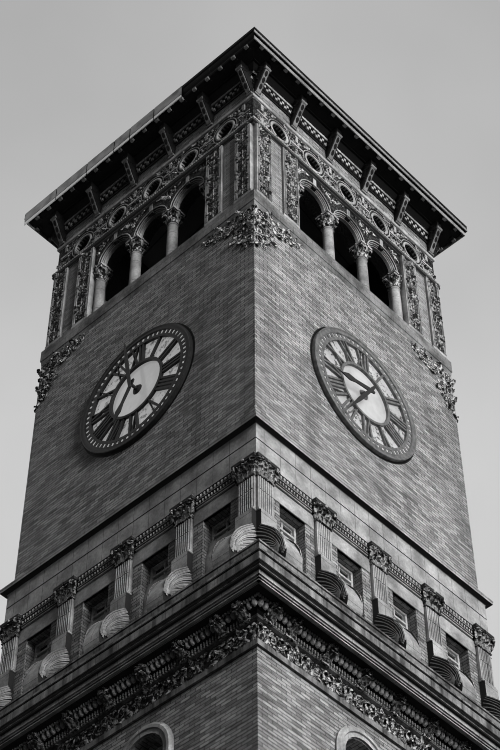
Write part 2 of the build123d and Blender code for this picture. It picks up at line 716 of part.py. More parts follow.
# Capitals of the columns: an eight-sided bell that flares twice, under a square abacus
COLUMN_LEAF_TOP = (COLUMN_CAPITAL_BOTTOM + COLUMN_ABACUS_BOTTOM) / 2
bell_neck = COLUMN_TOP_RADIUS + COLUMN_BELL_STEP
bell_middle = bell_neck + COLUMN_BELL_STEP
bell_stages = (
    (COLUMN_CAPITAL_BOTTOM, COLUMN_LEAF_TOP, bell_neck, bell_middle),
    (COLUMN_LEAF_TOP, COLUMN_ABACUS_BOTTOM, bell_middle, COLUMN_ABACUS_WIDTH / 2),
)
with BuildPart() as belfry_capitals:
    for turn in FACES.values():
        for across in column_row:
            place = plan_point(turn, COLUMN_AXIS, across)
            for bottom, top, low_radius, high_radius in bell_stages:
                with BuildSketch(Plane.XY.offset(bottom)):
                    with Locations(place):
                        RegularPolygon(low_radius, BELL_SIDES)
                flat_growth = (high_radius - low_radius) * math.cos(math.pi / BELL_SIDES)
                extrude(amount=top - bottom, taper=-math.degrees(math.atan(flat_growth / (top - bottom))))
            with BuildSketch(Plane.XY.offset(COLUMN_ABACUS_BOTTOM)):
                with Locations(place):
                    Rectangle(COLUMN_ABACUS_WIDTH, COLUMN_ABACUS_WIDTH)
            extrude(amount=COLUMN_ABACUS_HEIGHT)
    with BuildSketch(Plane.XY.offset(COLUMN_CAPITAL_BOTTOM)):
        Rectangle(2 * PIER_EDGE, 4 * SHAFT_HALF)
        Rectangle(4 * SHAFT_HALF, 2 * PIER_EDGE)
    extrude(amount=ARCH_SPRING - COLUMN_CAPITAL_BOTTOM, mode=Mode.INTERSECT)
write(belfry_capitals, "belfry_capitals")

# Walls over the columns: three arches in two orders, and five oculi through the frieze
for name, turn in FACES.items():
    half_width = wall_half_width(name, UPPER_HALF, UPPER_WALL)
    with BuildPart() as upper_wall:
        for order_face, order_depth, radius in (
            (UPPER_HALF, ORDER_DEPTH, ARCH_OUTER_ORDER),
            (UPPER_HALF - ORDER_DEPTH, UPPER_WALL - ORDER_DEPTH, ARCH_RADIUS),
        ):
            with BuildSketch(face_plane(turn, order_face)):
                with Locations((0, (TORUS_BOTTOM + SOFFIT) / 2)):
                    Rectangle(2 * half_width, SOFFIT - TORUS_BOTTOM)
                with Locations((0, (ARCH_SPRING + TORUS_BOTTOM) / 2)):
                    Rectangle(2 * PIER_EDGE, TORUS_BOTTOM - ARCH_SPRING)
                with Locations([(across, ARCH_SPRING) for across in spaced(ARCH_SPACING, 3)]):
                    RegularPolygon(radius, ARCH_SIDES, mode=Mode.SUBTRACT)
                with Locations([(across, OCULUS_CENTRE) for across in spaced(OCULUS_SPACING, 5)]):
                    RegularPolygon(OCULUS_RADIUS, OCULUS_SIDES, mode=Mode.SUBTRACT)
            extrude(amount=-order_depth)
        keystone_foot = ARCH_SPRING + ARCH_RADIUS
        with BuildSketch(face_plane(turn, UPPER_HALF - ORDER_DEPTH)):
            with Locations([(across, (keystone_foot + TORUS_BOTTOM) / 2)
                            for across in spaced(ARCH_SPACING, 3)]):
                Rectangle(KEYSTONE_WIDTH, TORUS_BOTTOM - keystone_foot)
        extrude(amount=ORDER_DEPTH + KEYSTONE_PROJECTION)
    write(upper_wall, f"upper_wall_{name}")

# Bed mouldings between the brackets: fillets, the chequer of billets, cavetto and ovolo
bed_profile = [
    (UPPER_HALF + 25, BED_MOULD),
    (UPPER_HALF + 25, BED_MOULD + 60),
    (UPPER_HALF + 8, BED_MOULD + 75),
    (UPPER_HALF + 8, BED_MOULD + 110),
    (UPPER_HALF + 30, BED_MOULD + 120),
    (UPPER_HALF + 30, BED_MOULD + 345),
    (UPPER_HALF + 62, BED_MOULD + 355),
    (UPPER_HALF + 62, BED_MOULD + 395),
    (UPPER_HALF + 80, BED_MOULD + 405),
    (UPPER_HALF + 105, BED_MOULD + 480),
    (UPPER_HALF + 175, SOFFIT),
]

# The leaf torus below the frieze, the fillet over it, and the bed mouldings
moulded_courses(
    "upper_mouldings",
    [
        (UPPER_HALF, TORUS_BOTTOM),
        (SHAFT_HALF - 15, TORUS_BOTTOM),
        (SHAFT_HALF - 5, TORUS_BOTTOM + 110, -18),
        (SHAFT_HALF + 10, TORUS_BOTTOM + 120),
        (SHAFT_HALF - 20, FRIEZE_BOTTOM - 20, 10),
        (UPPER_HALF, FRIEZE_BOTTOM),
    ],
    [
        (UPPER_HALF, FRIEZE_TOP),
        (UPPER_HALF + 25, FRIEZE_TOP),
        (UPPER_HALF + 45, FRIEZE_TOP + 50, -10),
        (UPPER_HALF + 45, BRICK_BAND),
        (UPPER_HALF, BRICK_BAND),
    ],
    [(UPPER_HALF, BED_MOULD), *bed_profile, (UPPER_HALF, SOFFIT)],
)

# Raking brackets under the eaves, cut over the bed mouldings
bracket_underside = [
    (UPPER_HALF, BRACKET_FOOT),
    (UPPER_HALF + 40, BRACKET_FOOT + 20),
    (UPPER_HALF + BRACKET_REACH - 25, SOFFIT - 270),
    (UPPER_HALF + BRACKET_REACH, SOFFIT - 170),
    (UPPER_HALF + BRACKET_REACH, SOFFIT),
]
with BuildPart() as eave_brackets:
    for turn in FACES.values():
        for across in spaced(BRACKET_SPACING, 6):
            with BuildSketch(section_plane(turn, across)):
                with BuildLine():
                    draw_outline([*bracket_underside, *reversed(bed_profile), (UPPER_HALF, BED_MOULD)])
                make_face()
            extrude(amount=BRACKET_WIDTH / 2, both=True)
write(eave_brackets, "eave_brackets")

# Eaves: flat soffit, and a crown moulding that ends in the gutter's lip
moulded_courses("eaves", [
    (UPPER_HALF - UPPER_WALL, SOFFIT),
    (EAVES_FILLET_HALF - 20, SOFFIT),
    (EAVES_FILLET_HALF, SOFFIT + 30),
    (EAVES_FILLET_HALF, EAVES_FILLET),
    (EAVES_HALF - 20, EAVES_TOP - 60, -18),
    (EAVES_HALF, EAVES_TOP - 50),
    (EAVES_HALF, EAVES_TOP),
    (UPPER_HALF - UPPER_WALL, EAVES_TOP),
])

# Low hipped roof, a shell that closes on a small square cap
with BuildPart() as roof:
    with BuildSketch(Plane.XY.offset(EAVES_TOP)):
        Rectangle(2 * ROOF_HALF, 2 * ROOF_HALF)
    roof_rise = ROOF_APEX - EAVES_TOP
    slope = math.degrees(math.atan((ROOF_HALF - ROOF_CAP_HALF) / roof_rise))
    extrude(amount=roof_rise, taper=slope)
    inner_rise = roof_rise - ROOF_THICKNESS
    inner_half = ROOF_HALF - ROOF_THICKNESS * (ROOF_HALF - ROOF_CAP_HALF) / roof_rise
    with BuildSketch(Plane.XY.offset(EAVES_TOP)):
        Rectangle(2 * inner_half, 2 * inner_half)
    inner_slope = math.degrees(math.atan((inner_half - ROOF_CAP_HALF) / inner_rise))
    extrude(amount=inner_rise, taper=inner_slope, mode=Mode.SUBTRACT)
write(roof, "roof")
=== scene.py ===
import math

import bpy
from mathutils import Matrix, Vector


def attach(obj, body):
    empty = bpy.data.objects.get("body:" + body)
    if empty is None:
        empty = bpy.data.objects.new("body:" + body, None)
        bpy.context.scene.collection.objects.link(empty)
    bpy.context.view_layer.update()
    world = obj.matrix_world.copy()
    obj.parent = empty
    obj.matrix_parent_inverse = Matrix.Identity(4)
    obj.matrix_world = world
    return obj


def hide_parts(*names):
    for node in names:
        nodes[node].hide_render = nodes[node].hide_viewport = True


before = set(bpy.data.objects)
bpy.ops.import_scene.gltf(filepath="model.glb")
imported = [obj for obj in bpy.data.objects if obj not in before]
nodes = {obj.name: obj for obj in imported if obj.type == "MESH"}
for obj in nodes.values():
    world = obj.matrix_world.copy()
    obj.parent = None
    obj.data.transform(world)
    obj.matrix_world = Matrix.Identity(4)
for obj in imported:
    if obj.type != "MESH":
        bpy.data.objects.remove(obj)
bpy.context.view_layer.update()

bpy.ops.object.select_all(action="DESELECT")

# The view from the pavement: the eye is 1.6 m above the ground, near the diagonal between the
# front and the left face, and a long lens looks steeply up at the clock storey.
EYE = (-19.012, -17.748, 1.60)
YAW, PITCH, ROLL = 0.8224, 0.8642, -0.0036
LENS_MM, PIXEL_FILTER = 91.6, 1.0

looking = Vector((math.sin(YAW) * math.cos(PITCH), math.cos(YAW) * math.cos(PITCH), math.sin(PITCH)))
level_right = Vector((math.cos(YAW), -math.sin(YAW), 0))
level_up = level_right.cross(looking)
right_way = level_right * math.cos(ROLL) + level_up * math.sin(ROLL)
up_way = level_up * math.cos(ROLL) - level_right * math.sin(ROLL)
bpy.ops.object.camera_add(location=EYE)
camera = bpy.context.object
camera.rotation_euler = Matrix((right_way, up_way, -looking)).transposed().to_euler()
camera.data.sensor_width = 36
camera.data.lens = LENS_MM
bpy.context.scene.camera = camera
bpy.context.scene.view_settings.view_transform = "Standard"
bpy.context.scene.cycles.filter_width = PIXEL_FILTER


# A plain grey day: the sky seen behind the tower is pale and a little darker in its upper corners.
# One broad soft sun rakes along the left face, the street throws some of its light back up, and a
# light from behind shows the two faces that the picture doesn't.
SKY, SKYLIGHT, SKY_FLOOR = "c9c9c9", 0.11, 0.015
MIDDLE_OF_SKY, CORNER_SHADE = 0.020, 1.15
SUNS = (((-0.17, -1.0, 0.32), 2.4, 24), ((-0.05, -1.0, -0.25), 1.6, 30), ((1.0, 0.8, 0.5), 2.2, 40))
WHITE = (1, 1, 1, 1)


def linear(colour):
    """sRGB hex colour, such as "8a8a8a", as linear red, green, blue and alpha."""
    parts = [int(colour[index:index + 2], 16) / 255 for index in (0, 2, 4)]
    return [c / 12.92 if c <= 0.04045 else ((c + 0.055) / 1.055) ** 2.4 for c in parts] + [1]


def wire(tree, node, inputs):
    """Joins a node's inputs, by name or in order, to nodes and sockets, values and hex colours."""
    if not isinstance(inputs, dict):
        inputs = dict(zip([place for place, socket in enumerate(node.inputs) if socket.enabled], inputs))
    for name, value in inputs.items():
        if isinstance(value, bpy.types.Node):
            value = next(socket for socket in value.outputs if socket.enabled)
        if isinstance(value, bpy.types.NodeSocket):
            tree.links.new(value, node.inputs[name])
        else:
            node.inputs[name].default_value = linear(value) if isinstance(value, str) else value
    return node


def add(tree, kind, inputs=(), **settings):
    """Adds a shader node with its settings and inputs."""
    made = tree.nodes.new("ShaderNode" + kind)
    for name, value in settings.items():
        setattr(made, name, value)
    return wire(tree, made, inputs)


world = bpy.data.worlds.new("overcast_sky")
bpy.context.scene.world = world
world.use_nodes = True
tree = world.node_tree
tree.nodes.clear()
seen = add(tree, "LightPath").outputs
shown = add(tree, "Math", (seen["Is Camera Ray"], seen["Is Glossy Ray"]), operation="MAXIMUM")
shown = add(tree, "Math", (shown, seen["Is Transmission Ray"]), operation="MAXIMUM")
way = add(tree, "TexCoord").outputs["Generated"]
height = add(tree, "SeparateXYZ", [way]).outputs["Z"]
dome = add(tree, "MapRange", (height, -0.15, 0.35, SKY_FLOOR, SKYLIGHT))
haze = add(tree, "MapRange", (height, 0.70, 0.95, 1.05, 0.76))
aside = add(tree, "VectorMath", (way, level_right), operation="DOT_PRODUCT")
aside = add(tree, "Math", (aside, MIDDLE_OF_SKY), operation="SUBTRACT")
aside = add(tree, "Math", [aside], operation="ABSOLUTE")
corner = add(tree, "MapRange", (height, 0.74, 0.86, 0.0, CORNER_SHADE))
corner = add(tree, "Math", (aside, corner), operation="MULTIPLY")
cloud = add(tree, "TexNoise", {"Vector": way, "Scale": 9.0, "Detail": 3})
cloud = add(tree, "MapRange", (cloud, 0.3, 0.7, 0.96, 1.04))
clear = add(tree, "Math", (cloud, corner), operation="SUBTRACT")
haze = add(tree, "Math", (haze, clear), operation="MULTIPLY")
pale = add(tree, "Background", {"Color": SKY, "Strength": haze})
light = add(tree, "Background", {"Color": WHITE, "Strength": dome})
add(tree, "OutputWorld", [add(tree, "MixShader", (shown, light, pale))])

for light_from, strength, wide in SUNS:
    bpy.ops.object.light_add(type="SUN")
    sun = bpy.context.object
    sun.rotation_euler = Vector(light_from).to_track_quat("Z", "Y").to_euler()
    sun.data.energy = strength
    sun.data.angle = math.radians(wide)

# A plain pale floor round the tower's foot. For the light that it throws back it counts as the
# dark paving that such a tower stands on, so that the undersides stay deep in shade.
FLOOR_HALF, FLOOR_DROP = 60, 0.002
PALE_FLOOR, DARK_PAVING, FLOOR_GLOW = "c9c9c9", "303030", 0.30
bpy.ops.mesh.primitive_plane_add(size=2 * FLOOR_HALF, location=(0, 0, -FLOOR_DROP))
floor = bpy.context.object
floor.name = "studio_floor"
floor_paint = bpy.data.materials.new("floor_paint")
floor_paint.use_nodes = True
tree = floor_paint.node_tree
tree.nodes.clear()
seen = add(tree, "LightPath").outputs
tone = add(tree, "Mix", (seen["Is Diffuse Ray"], PALE_FLOOR, DARK_PAVING), data_type="RGBA")
diffuse = add(tree, "BsdfDiffuse", {"Color": tone})
glow = add(tree, "Math", (seen["Is Camera Ray"], FLOOR_GLOW), operation="MULTIPLY")
lifted = add(tree, "Emission", {"Color": WHITE, "Strength": glow})
add(tree, "OutputMaterial", [add(tree, "AddShader", (diffuse, lifted))])
floor.data.materials.append(floor_paint)


# Walls of the shaft: hard pressed brick with thin joints, a dark weathered grey in which single
# bricks are paler or nearly black. Laid in running bond, 68 mm to the course.
BRICK_LENGTH, BRICK_COURSE, BRICK_JOINT = 0.215, 0.068, 0.012
WALL_BRICK = ("d0d0d0", "8c8c8c", "3c3c3c")
UNDERSIDE_FROM = 0.75
FACES = ("front", "right", "back", "left")


def spot(tree):
    """Where a point is on the tower, as its X, Y and Z."""
    return add(tree, "SeparateXYZ", [add(tree, "TexCoord").outputs["Object"]]).outputs


def facing(tree):
    """Which way the surface faces, as its X, Y and Z."""
    return add(tree, "SeparateXYZ", [add(tree, "TexCoord").outputs["Normal"]]).outputs


def unsigned(tree, parts):
    """The parts of a place or of a direction, without their signs."""
    return [add(tree, "Math", [part], operation="ABSOLUTE") for part in parts]


def wall_place(tree):
    """Place on a wall: along it, up it. Reveals and undersides turn with their own surface."""
    point, turned_to = spot(tree), unsigned(tree, facing(tree))
    sideways = add(tree, "Math", turned_to[:2], operation="GREATER_THAN")
    level = add(tree, "Math", (turned_to[2], UNDERSIDE_FROM), operation="GREATER_THAN")
    along = add(tree, "Mix", (sideways, point["X"], point["Y"]))
    across = add(tree, "Mix", (sideways, point["Y"], point["X"]))
    up = add(tree, "Mix", (level, point["Z"], across))
    return add(tree, "CombineXYZ", (along, up))


def start_finish(name, roughness, ior=1.2):
    """New material with one principled shader. Returns the material, its tree and the shader."""
    material = bpy.data.materials.new(name)
    material.use_nodes = True
    tree = material.node_tree
    shader = wire(tree, tree.nodes["Principled BSDF"], {"Roughness": roughness, "IOR": ior})
    return material, tree, shader


def noise(tree, scale, detail=3, roughness=0.55, stretch=(1, 1, 1)):
    """Cloudy pattern on object coordinates; the scale is in patches a metre."""
    place = add(tree, "Mapping", {"Vector": add(tree, "TexCoord").outputs["Object"], "Scale": stretch})
    return add(tree, "TexNoise", {"Vector": place, "Scale": scale, "Detail": detail, "Roughness": roughness})


def shaded_and_sooted(tree, colour, shade_and_soot, reach, most):
    """Painted shade in close hollows and on undersides, and long sooty streaks."""
    hollow = add(tree, "AmbientOcclusion", {"Distance": reach}, samples=6)
    close = add(tree, "MapRange", (hollow.outputs["AO"], 0.35, 0.95, most, 0.0))
    turned_to = add(tree, "SeparateXYZ", [add(tree, "NewGeometry").outputs["Normal"]])
    under = add(tree, "MapRange", (turned_to.outputs["Z"], -0.9, -0.1, 0.85 * most, 0.0))
    share = add(tree, "Math", (close, under), operation="MAXIMUM")
    streaks = add(tree, "MapRange", (noise(tree, 1.6, 4, 0.6, (1, 1, 0.10)), 0.45, 0.78, 0.0, 0.45))
    share = add(tree, "Math", (share, streaks), operation="MAXIMUM")
    return add(tree, "Mix", (share, colour, shade_and_soot), data_type="RGBA")


def paint(tree, shader, colour, height, depth):
    """Joins a colour and a relief of that depth in metres to the shader."""
    bump = add(tree, "Bump", {"Height": height, "Distance": depth, "Strength": 1.0})
    wire(tree, shader, {"Base Color": colour, "Normal": bump})


def bricks(tree, pale, dark, joint):
    """Pressed bricks from dark to pale, joints, rain streaks, and painted shade under ledges and in hollows.
    """
    wall = add(tree, "TexBrick", {
        "Vector": wall_place(tree), "Color1": pale, "Color2": dark, "Mortar": joint, "Scale": 1.0,
        "Mortar Size": BRICK_JOINT / 2, "Mortar Smooth": 0.2, "Bias": -0.1,
        "Brick Width": BRICK_LENGTH, "Row Height": BRICK_COURSE})
    patches = add(tree, "MapRange", (noise(tree, 0.35, 4), 0.3, 0.7))
    weather = add(tree, "Mix", (patches, "484848", "c8c8c8"), data_type="RGBA")
    colour = add(tree, "Mix", (0.35, wall.outputs["Color"], weather), data_type="RGBA",
                 blend_type="SOFT_LIGHT")
    grain = add(tree, "MapRange", (noise(tree, 18, 2, 0.7, (1, 1, 1.6)), 0.35, 0.65, 0.0, 0.35))
    streaks = noise(tree, 1.0, 3, 0.65, (1.5, 1.5, 22.0))
    soiled = add(tree, "MapRange", (streaks, 0.46, 0.64, 0.0, 0.55))
    for share, tint in ((grain, dark), (soiled, "787878")):
        colour = add(tree, "Mix", (share, colour, tint), data_type="RGBA", blend_type="MULTIPLY")
    # Painted shade, dark grey, in hollows up to half a metre deep and on undersides.
    colour = shaded_and_sooted(tree, colour, "2c2c2c", 0.5, 0.6)
    proud = add(tree, "Math", (1.0, wall.outputs["Fac"]), operation="SUBTRACT")
    relief = add(tree, "Math", (noise(tree, 60, 2), 0.15, proud), operation="MULTIPLY_ADD")
    return colour, relief


def dress(piece, material):
    """Gives a piece its material."""
    piece.data.materials.clear()
    piece.data.materials.append(material)


def brick_finish(name, tones):
    """Material of a brick wall, from its palest and darkest bricks and its joints."""
    material, tree, shader = start_finish(name, 0.8)
    paint(tree, shader, *bricks(tree, *tones), 0.010)
    return material


pressed_brick = brick_finish("pressed_brick", WALL_BRICK)
for face in FACES:
    for stage in ("lower_wall", "pilaster_storey_wall", "clock_wall"):
        dress(nodes[f"{stage}_{face}"], pressed_brick)


# Plinth and belfry sill: courses of dressed limestone with fine upright joints, cloudy and grey
# with weather, and painted black as shade in every hollow.
JOINT_WIDTH, NO_JOINTS = 0.008, 9.0


def clay(tree, pale, dark, block_length, course, most, shade_and_soot):
    """Cloudy weathered surface with fine joints, and painted shade in its hollows and on its undersides: its
    colour and relief.
    """
    cloud = add(tree, "MapRange", (noise(tree, 2.2, 5), 0.36, 0.64))
    colour = add(tree, "Mix", (cloud, dark, pale), data_type="RGBA")
    fine = add(tree, "MapRange", (noise(tree, 22, 3), 0.35, 0.65, 0.0, 0.35))
    colour = add(tree, "Mix", (fine, colour, dark), data_type="RGBA", blend_type="MULTIPLY")
    joints = add(tree, "TexBrick", {
        "Vector": wall_place(tree), "Scale": 1.0, "Mortar Size": JOINT_WIDTH / 2, "Mortar Smooth": 0.1,
        "Brick Width": block_length, "Row Height": course})
    colour = add(tree, "Mix", (joints.outputs["Fac"], colour, "404040"), data_type="RGBA")
    return shaded_and_sooted(tree, colour, shade_and_soot, 0.12, most), noise(tree, 45, 3)


def fired(name, pale, dark, block_length=NO_JOINTS, course=NO_JOINTS, most=0.8, shade_and_soot="262626"):
    """Material of plain moulded or dressed blocks, with painted shade in their hollows and on their
    undersides.
    """
    material, tree, shader = start_finish(name, 0.72)
    paint(tree, shader, *clay(tree, pale, dark, block_length, course, most, shade_and_soot), 0.003)
    return material


limestone = fired("dressed_limestone", "a4a4a4", "606060", 0.385, 0.378, 0.6)
for name in ("belfry_sill", "base_plinth"):
    dress(nodes[name], limestone)


# Paired windows of the lower shaft: a moulded terracotta arch on moulded jambs round each
# opening, a stone sill, and a painted casement with one bar and one rail deep in the reveal.
WINDOW_DROP, CASEMENT_FACE, CASEMENT_BACK = 2.05, 2.80, 2.72
WINDOW_SPRINGS, WINDOW_ASIDE = (8.597, 14.197, 19.797), 0.75
ARCH_HEAD, SIDE_HEAD = 0.40, 0.05


def only(piece):
    """Selects one piece, and nothing else."""
    bpy.ops.object.select_all(action="DESELECT")
    piece.select_set(True)
    bpy.context.view_layer.objects.active = piece


def outline(name, points):
    """Closed run of corners: a circle of as many, each moved to its place across, out and up."""
    bpy.ops.mesh.primitive_circle_add(vertices=len(points))
    piece = bpy.context.object
    piece.name = name
    for corner, (across, out, up) in zip(piece.data.vertices, points):
        corner.co = (across, -out, up)
    bpy.ops.object.mode_set(mode="EDIT")
    bpy.ops.mesh.select_all(action="SELECT")
    return piece


def closed(piece):
    """Welds the seams, shuts the ends, turns the faces outwards, and leaves edit mode."""
    bpy.ops.mesh.select_all(action="SELECT")
    bpy.ops.mesh.remove_doubles(threshold=0.0002)
    bpy.ops.mesh.fill_holes(sides=0)
    bpy.ops.mesh.select_all(action="SELECT")
    bpy.ops.mesh.normals_make_consistent(inside=False)
    bpy.ops.object.mode_set(mode="OBJECT")
    return piece


def run(name, points, shift):
    """A section drawn out straight, as a moulding is run."""
    piece = outline(name, points)
    bpy.ops.mesh.extrude_region_move(TRANSFORM_OT_translate={"value": (shift[0], -shift[1], shift[2])})
    return closed(piece)


def swung(name, section, centre=0, angle=math.pi, steps=14):
    """A section of radii and places out, swung round a centre at that height, as an arch or a ring."""
    piece = outline(name, [(radius, out, centre) for radius, out in section])
    bpy.ops.mesh.spin(steps=steps, angle=angle, center=(0, 0, centre), axis=(0, 1, 0))
    return closed(piece)


def block(name, across, out, up, ease=0.006):
    """Block between two places across, outwards and upwards, its edges eased."""
    middle = (sum(across) / 2, -sum(out) / 2, sum(up) / 2)
    sizes = (across[1] - across[0], out[1] - out[0], up[1] - up[0])
    bpy.ops.mesh.primitive_cube_add(size=1, location=middle, scale=sizes)
    piece = bpy.context.object
    piece.name = name
    bpy.ops.object.transform_apply()
    bpy.ops.object.mode_set(mode="EDIT")
    bpy.ops.mesh.bevel(offset=ease, affect="EDGES")
    bpy.ops.object.mode_set(mode="OBJECT")
    return piece


def copied(piece, to=(0, 0, 0), size=(1, 1, 1), tip=0.0, lean=0.0, turn=0.0):
    """Copy with its own mesh: sized, tipped in the face's plane, leaned out of it, turned, moved."""
    made = piece.copy()
    made.data = piece.data.copy()
    bpy.context.collection.objects.link(made)
    place = Matrix.Translation((to[0], -to[1], to[2])) @ Matrix.Rotation(turn, 4, "Z")
    place = place @ Matrix.Rotation(lean, 4, "X") @ Matrix.Rotation(tip, 4, "Y")
    made.data.transform(place @ Matrix.Diagonal((*size, 1)))
    if size[0] * size[1] * size[2] < 0:
        made.data.flip_normals()
    return made


def set_out(pattern, places):
    """A copy of the pattern at each place, which is a dictionary for copied; the pattern is used up."""
    made = [copied(pattern, **place) for place in places]
    bpy.data.objects.remove(pattern)
    return made


def joined(name, pieces):
    """Joins pieces to one."""
    only(pieces[0])
    for piece in pieces[1:]:
        piece.select_set(True)
    if len(pieces) > 1:
        bpy.ops.object.join()
    pieces[0].name = name
    return pieces[0]


def fitted(name, pieces, material, smooth=35, stands_for=(), quarters=(0, 1, 2, 3),
           places=()):
    """Sets the pieces out along a face, repeats them on each face named, and fixes them to the tower."""
    one = joined(name, set_out(joined(name, pieces), places) if places else pieces)
    whole = joined(name, [copied(one, turn=quarter * math.pi / 2) for quarter in quarters])
    bpy.data.objects.remove(one)
    only(whole)
    bpy.ops.object.shade_smooth_by_angle(angle=math.radians(smooth))
    dress(whole, material)
    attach(whole, "tower")
    if stands_for:
        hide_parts(*stands_for)


def mottled(name, finish, patches, between, tones, grain, depth):
    """Cloudy material of two tones. Its patches and its relief have each a scale and a detail."""
    material, tree, shader = start_finish(name, *finish)
    share = add(tree, "MapRange", (noise(tree, *patches), *between))
    colour = add(tree, "Mix", (share, tones[0], tones[1]), data_type="RGBA")
    paint(tree, shader, colour, noise(tree, *grain), depth)
    return material


surround = [(0.455, 3.06), (0.455, 3.15), (0.53, 3.15), (0.545, 3.175), (0.60, 3.175), (0.62, 3.15),
            (0.65, 3.14), (0.65, 3.06)]
arch = swung("window_arch", surround)
jambs = [run("window_jamb", [(side * r, out, 0) for r, out in surround], (0, 0, -WINDOW_DROP))
         for side in (-1, 1)]
sill = block("window_sill", (-0.70, 0.70), (3.0, 3.20), (-WINDOW_DROP - 0.14, -WINDOW_DROP), 0.012)
lower_windows = [dict(to=(side * WINDOW_ASIDE, 0, spring)) for spring in WINDOW_SPRINGS
                 for side in (-1, 1)]
# Strong painted shade, nearly black, in the terracotta's hollows and on its undersides.
terracotta = fired("moulded_terracotta", "d6d6d6", "929292", 0.45, most=0.92, shade_and_soot="1a1a1a")
fitted("lower_window_surrounds", [arch, *jambs, sill], terracotta, places=lower_windows)

timber = mottled("painted_sash_timber", [0.45], (30, 4), (0.4, 0.7), ("c4c4c4", "9a9a9a"), (80, 2), 0.001)
head = swung("casement_head", ((0.37, CASEMENT_BACK), (0.37, CASEMENT_FACE), (0.445, CASEMENT_FACE),
                               (0.445, CASEMENT_BACK)), steps=12)
bars = [block("casement_bar", (x - 0.028, x + 0.028), (CASEMENT_BACK + 0.01, CASEMENT_FACE - 0.01),
              (-WINDOW_DROP, top), 0.004)
        for x, top in ((-0.41, SIDE_HEAD), (0, ARCH_HEAD), (0.41, SIDE_HEAD))]
rails = [block("casement_rail", (-0.41, 0.41), (CASEMENT_BACK + 0.01, CASEMENT_FACE), (z - 0.03, z + 0.03),
               0.004) for z in (-WINDOW_DROP + 0.04, -1.0, 0.0)]
fitted("lower_casements", [head, *bars, *rails], timber, places=lower_windows)

# Drawn sheet glass in the windows: thin, slightly wavy and grey with dust, over dark rooms. Each
# pane is puttied into its frame.
glass = mottled("drawn_window_glass", (0.08, 1.52), (5, 4), (0.35, 0.7), ("161616", "343434"), (3, 2), 0.004)
dress(nodes["window_glass"], glass)

# Floors: slabs of concrete, trowelled smooth and worn cloudy, cast in place between the walls of
# each storey.
floor_concrete = mottled("trowelled_concrete", [0.85], (4, 5), (0, 1), ("4c4c4c", "767676"), (50, 3), 0.003)
dress(nodes["floor_slabs"], floor_concrete)


# Great cornice: terracotta in long blocks, with pale fillets, and a crown streaked by the water that runs off
# it. Its grooves, the bed under its corona and the ground of its frieze, which is cut close with leaves, are
# painted black as shade.
SHADED_COURSES = ((20.793, 21.172), (21.262, 21.50), (21.524, 21.560), (21.722, 21.748), (21.996, 22.004))
LEAFY_COURSE, HALF_LEAFY_COURSE = 20.98, 0.165


def shade_courses(tree, colour, shade_and_soot, courses):
    """Painted shade over whole courses, each given by its two heights."""
    for low, high in courses:
        within = add(tree, "Math", (spot(tree)["Z"], (low + high) / 2, (high - low) / 2), operation="COMPARE")
        colour = add(tree, "Mix", (within, colour, shade_and_soot), data_type="RGBA")
    return colour


def cut_leaves(tree, pale, shade_and_soot, grain):
    """Close-cut leafage: pale lobes with their cuts painted dark as shade, and painted shade in hollows and
    on undersides. Its colour and relief.
    """
    source = add(tree, "TexCoord").outputs["Object"]
    bend = add(tree, "TexNoise", {"Vector": source, "Scale": 0.5 * grain, "Detail": 2})
    place = add(tree, "Mix", (1.3 / grain, source, bend.outputs["Color"]), data_type="VECTOR",
                clamp_factor=False)
    lobes = add(tree, "TexVoronoi", {"Vector": place, "Scale": grain}, feature="DISTANCE_TO_EDGE")
    cut = add(tree, "MapRange", (lobes, 0.03, 0.20, 1.0, 0.0))
    deep = add(tree, "MapRange", (noise(tree, 0.45 * grain, 2), 0.52, 0.62))
    share = add(tree, "Math", (cut, deep), operation="MAXIMUM")
    colour = add(tree, "Mix", (share, pale, shade_and_soot), data_type="RGBA")
    return shaded_and_sooted(tree, colour, shade_and_soot, 0.10, 0.9), add(tree, "Math", (1.0, share), operation="SUBTRACT")


cornice_clay, tree, shader = start_finish("streaked_terracotta", 0.74)
colour, relief = clay(tree, "b4b4b4", "767676", 0.52, NO_JOINTS, 0.9, "181818")
streaks = add(tree, "MapRange", (noise(tree, 5.5, 4, 0.6, (1, 1, 0.05)), 0.42, 0.62, 0.0, 0.75))
colour = add(tree, "Mix", (streaks, colour, "484848"), data_type="RGBA", blend_type="MULTIPLY")
colour = shade_courses(tree, colour, "101010", SHADED_COURSES)
leafage, leafage_relief = cut_leaves(tree, "8c8c8c", "0c0c0c", 15)
leafy = add(tree, "Math", (spot(tree)["Z"], LEAFY_COURSE, HALF_LEAFY_COURSE), operation="COMPARE")
colour = add(tree, "Mix", (leafy, colour, leafage), data_type="RGBA")
relief = add(tree, "Mix", (leafy, relief, leafage_relief))
paint(tree, shader, colour, relief, 0.003)
dress(nodes["main_cornice"], cornice_clay)

# Scrolls of the cornice's frieze, cut in the round: spirals wind up and down by turns on a stem,
# with leaves at their backs and fans of leaves between them.
SCROLL_PITCH, CORNICE_FRIEZE, CORNICE_FRIEZE_FACE = 0.50, 20.985, 3.130
LEAF_ROWS = ((0.55, 0.0, 0.0), (1.0, 0.03, 0.17), (0.72, 0.05, 0.34), (0.95, 0.10, 0.52),
             (0.62, 0.18, 0.70), (0.70, 0.34, 0.86), (0.30, 0.46, 0.80))
LEAF_RIB = (0.09, 0.05, 0.0)
FAN = ((-0.05, -0.17, -0.4), (0.05, -0.17, 0.4), (0.08, 0.0, 1.7), (-0.08, 0.0, -1.7), (0.03, 0.17, 2.6),
       (-0.03, 0.17, -2.6), (0.0, -0.06, 0.0))


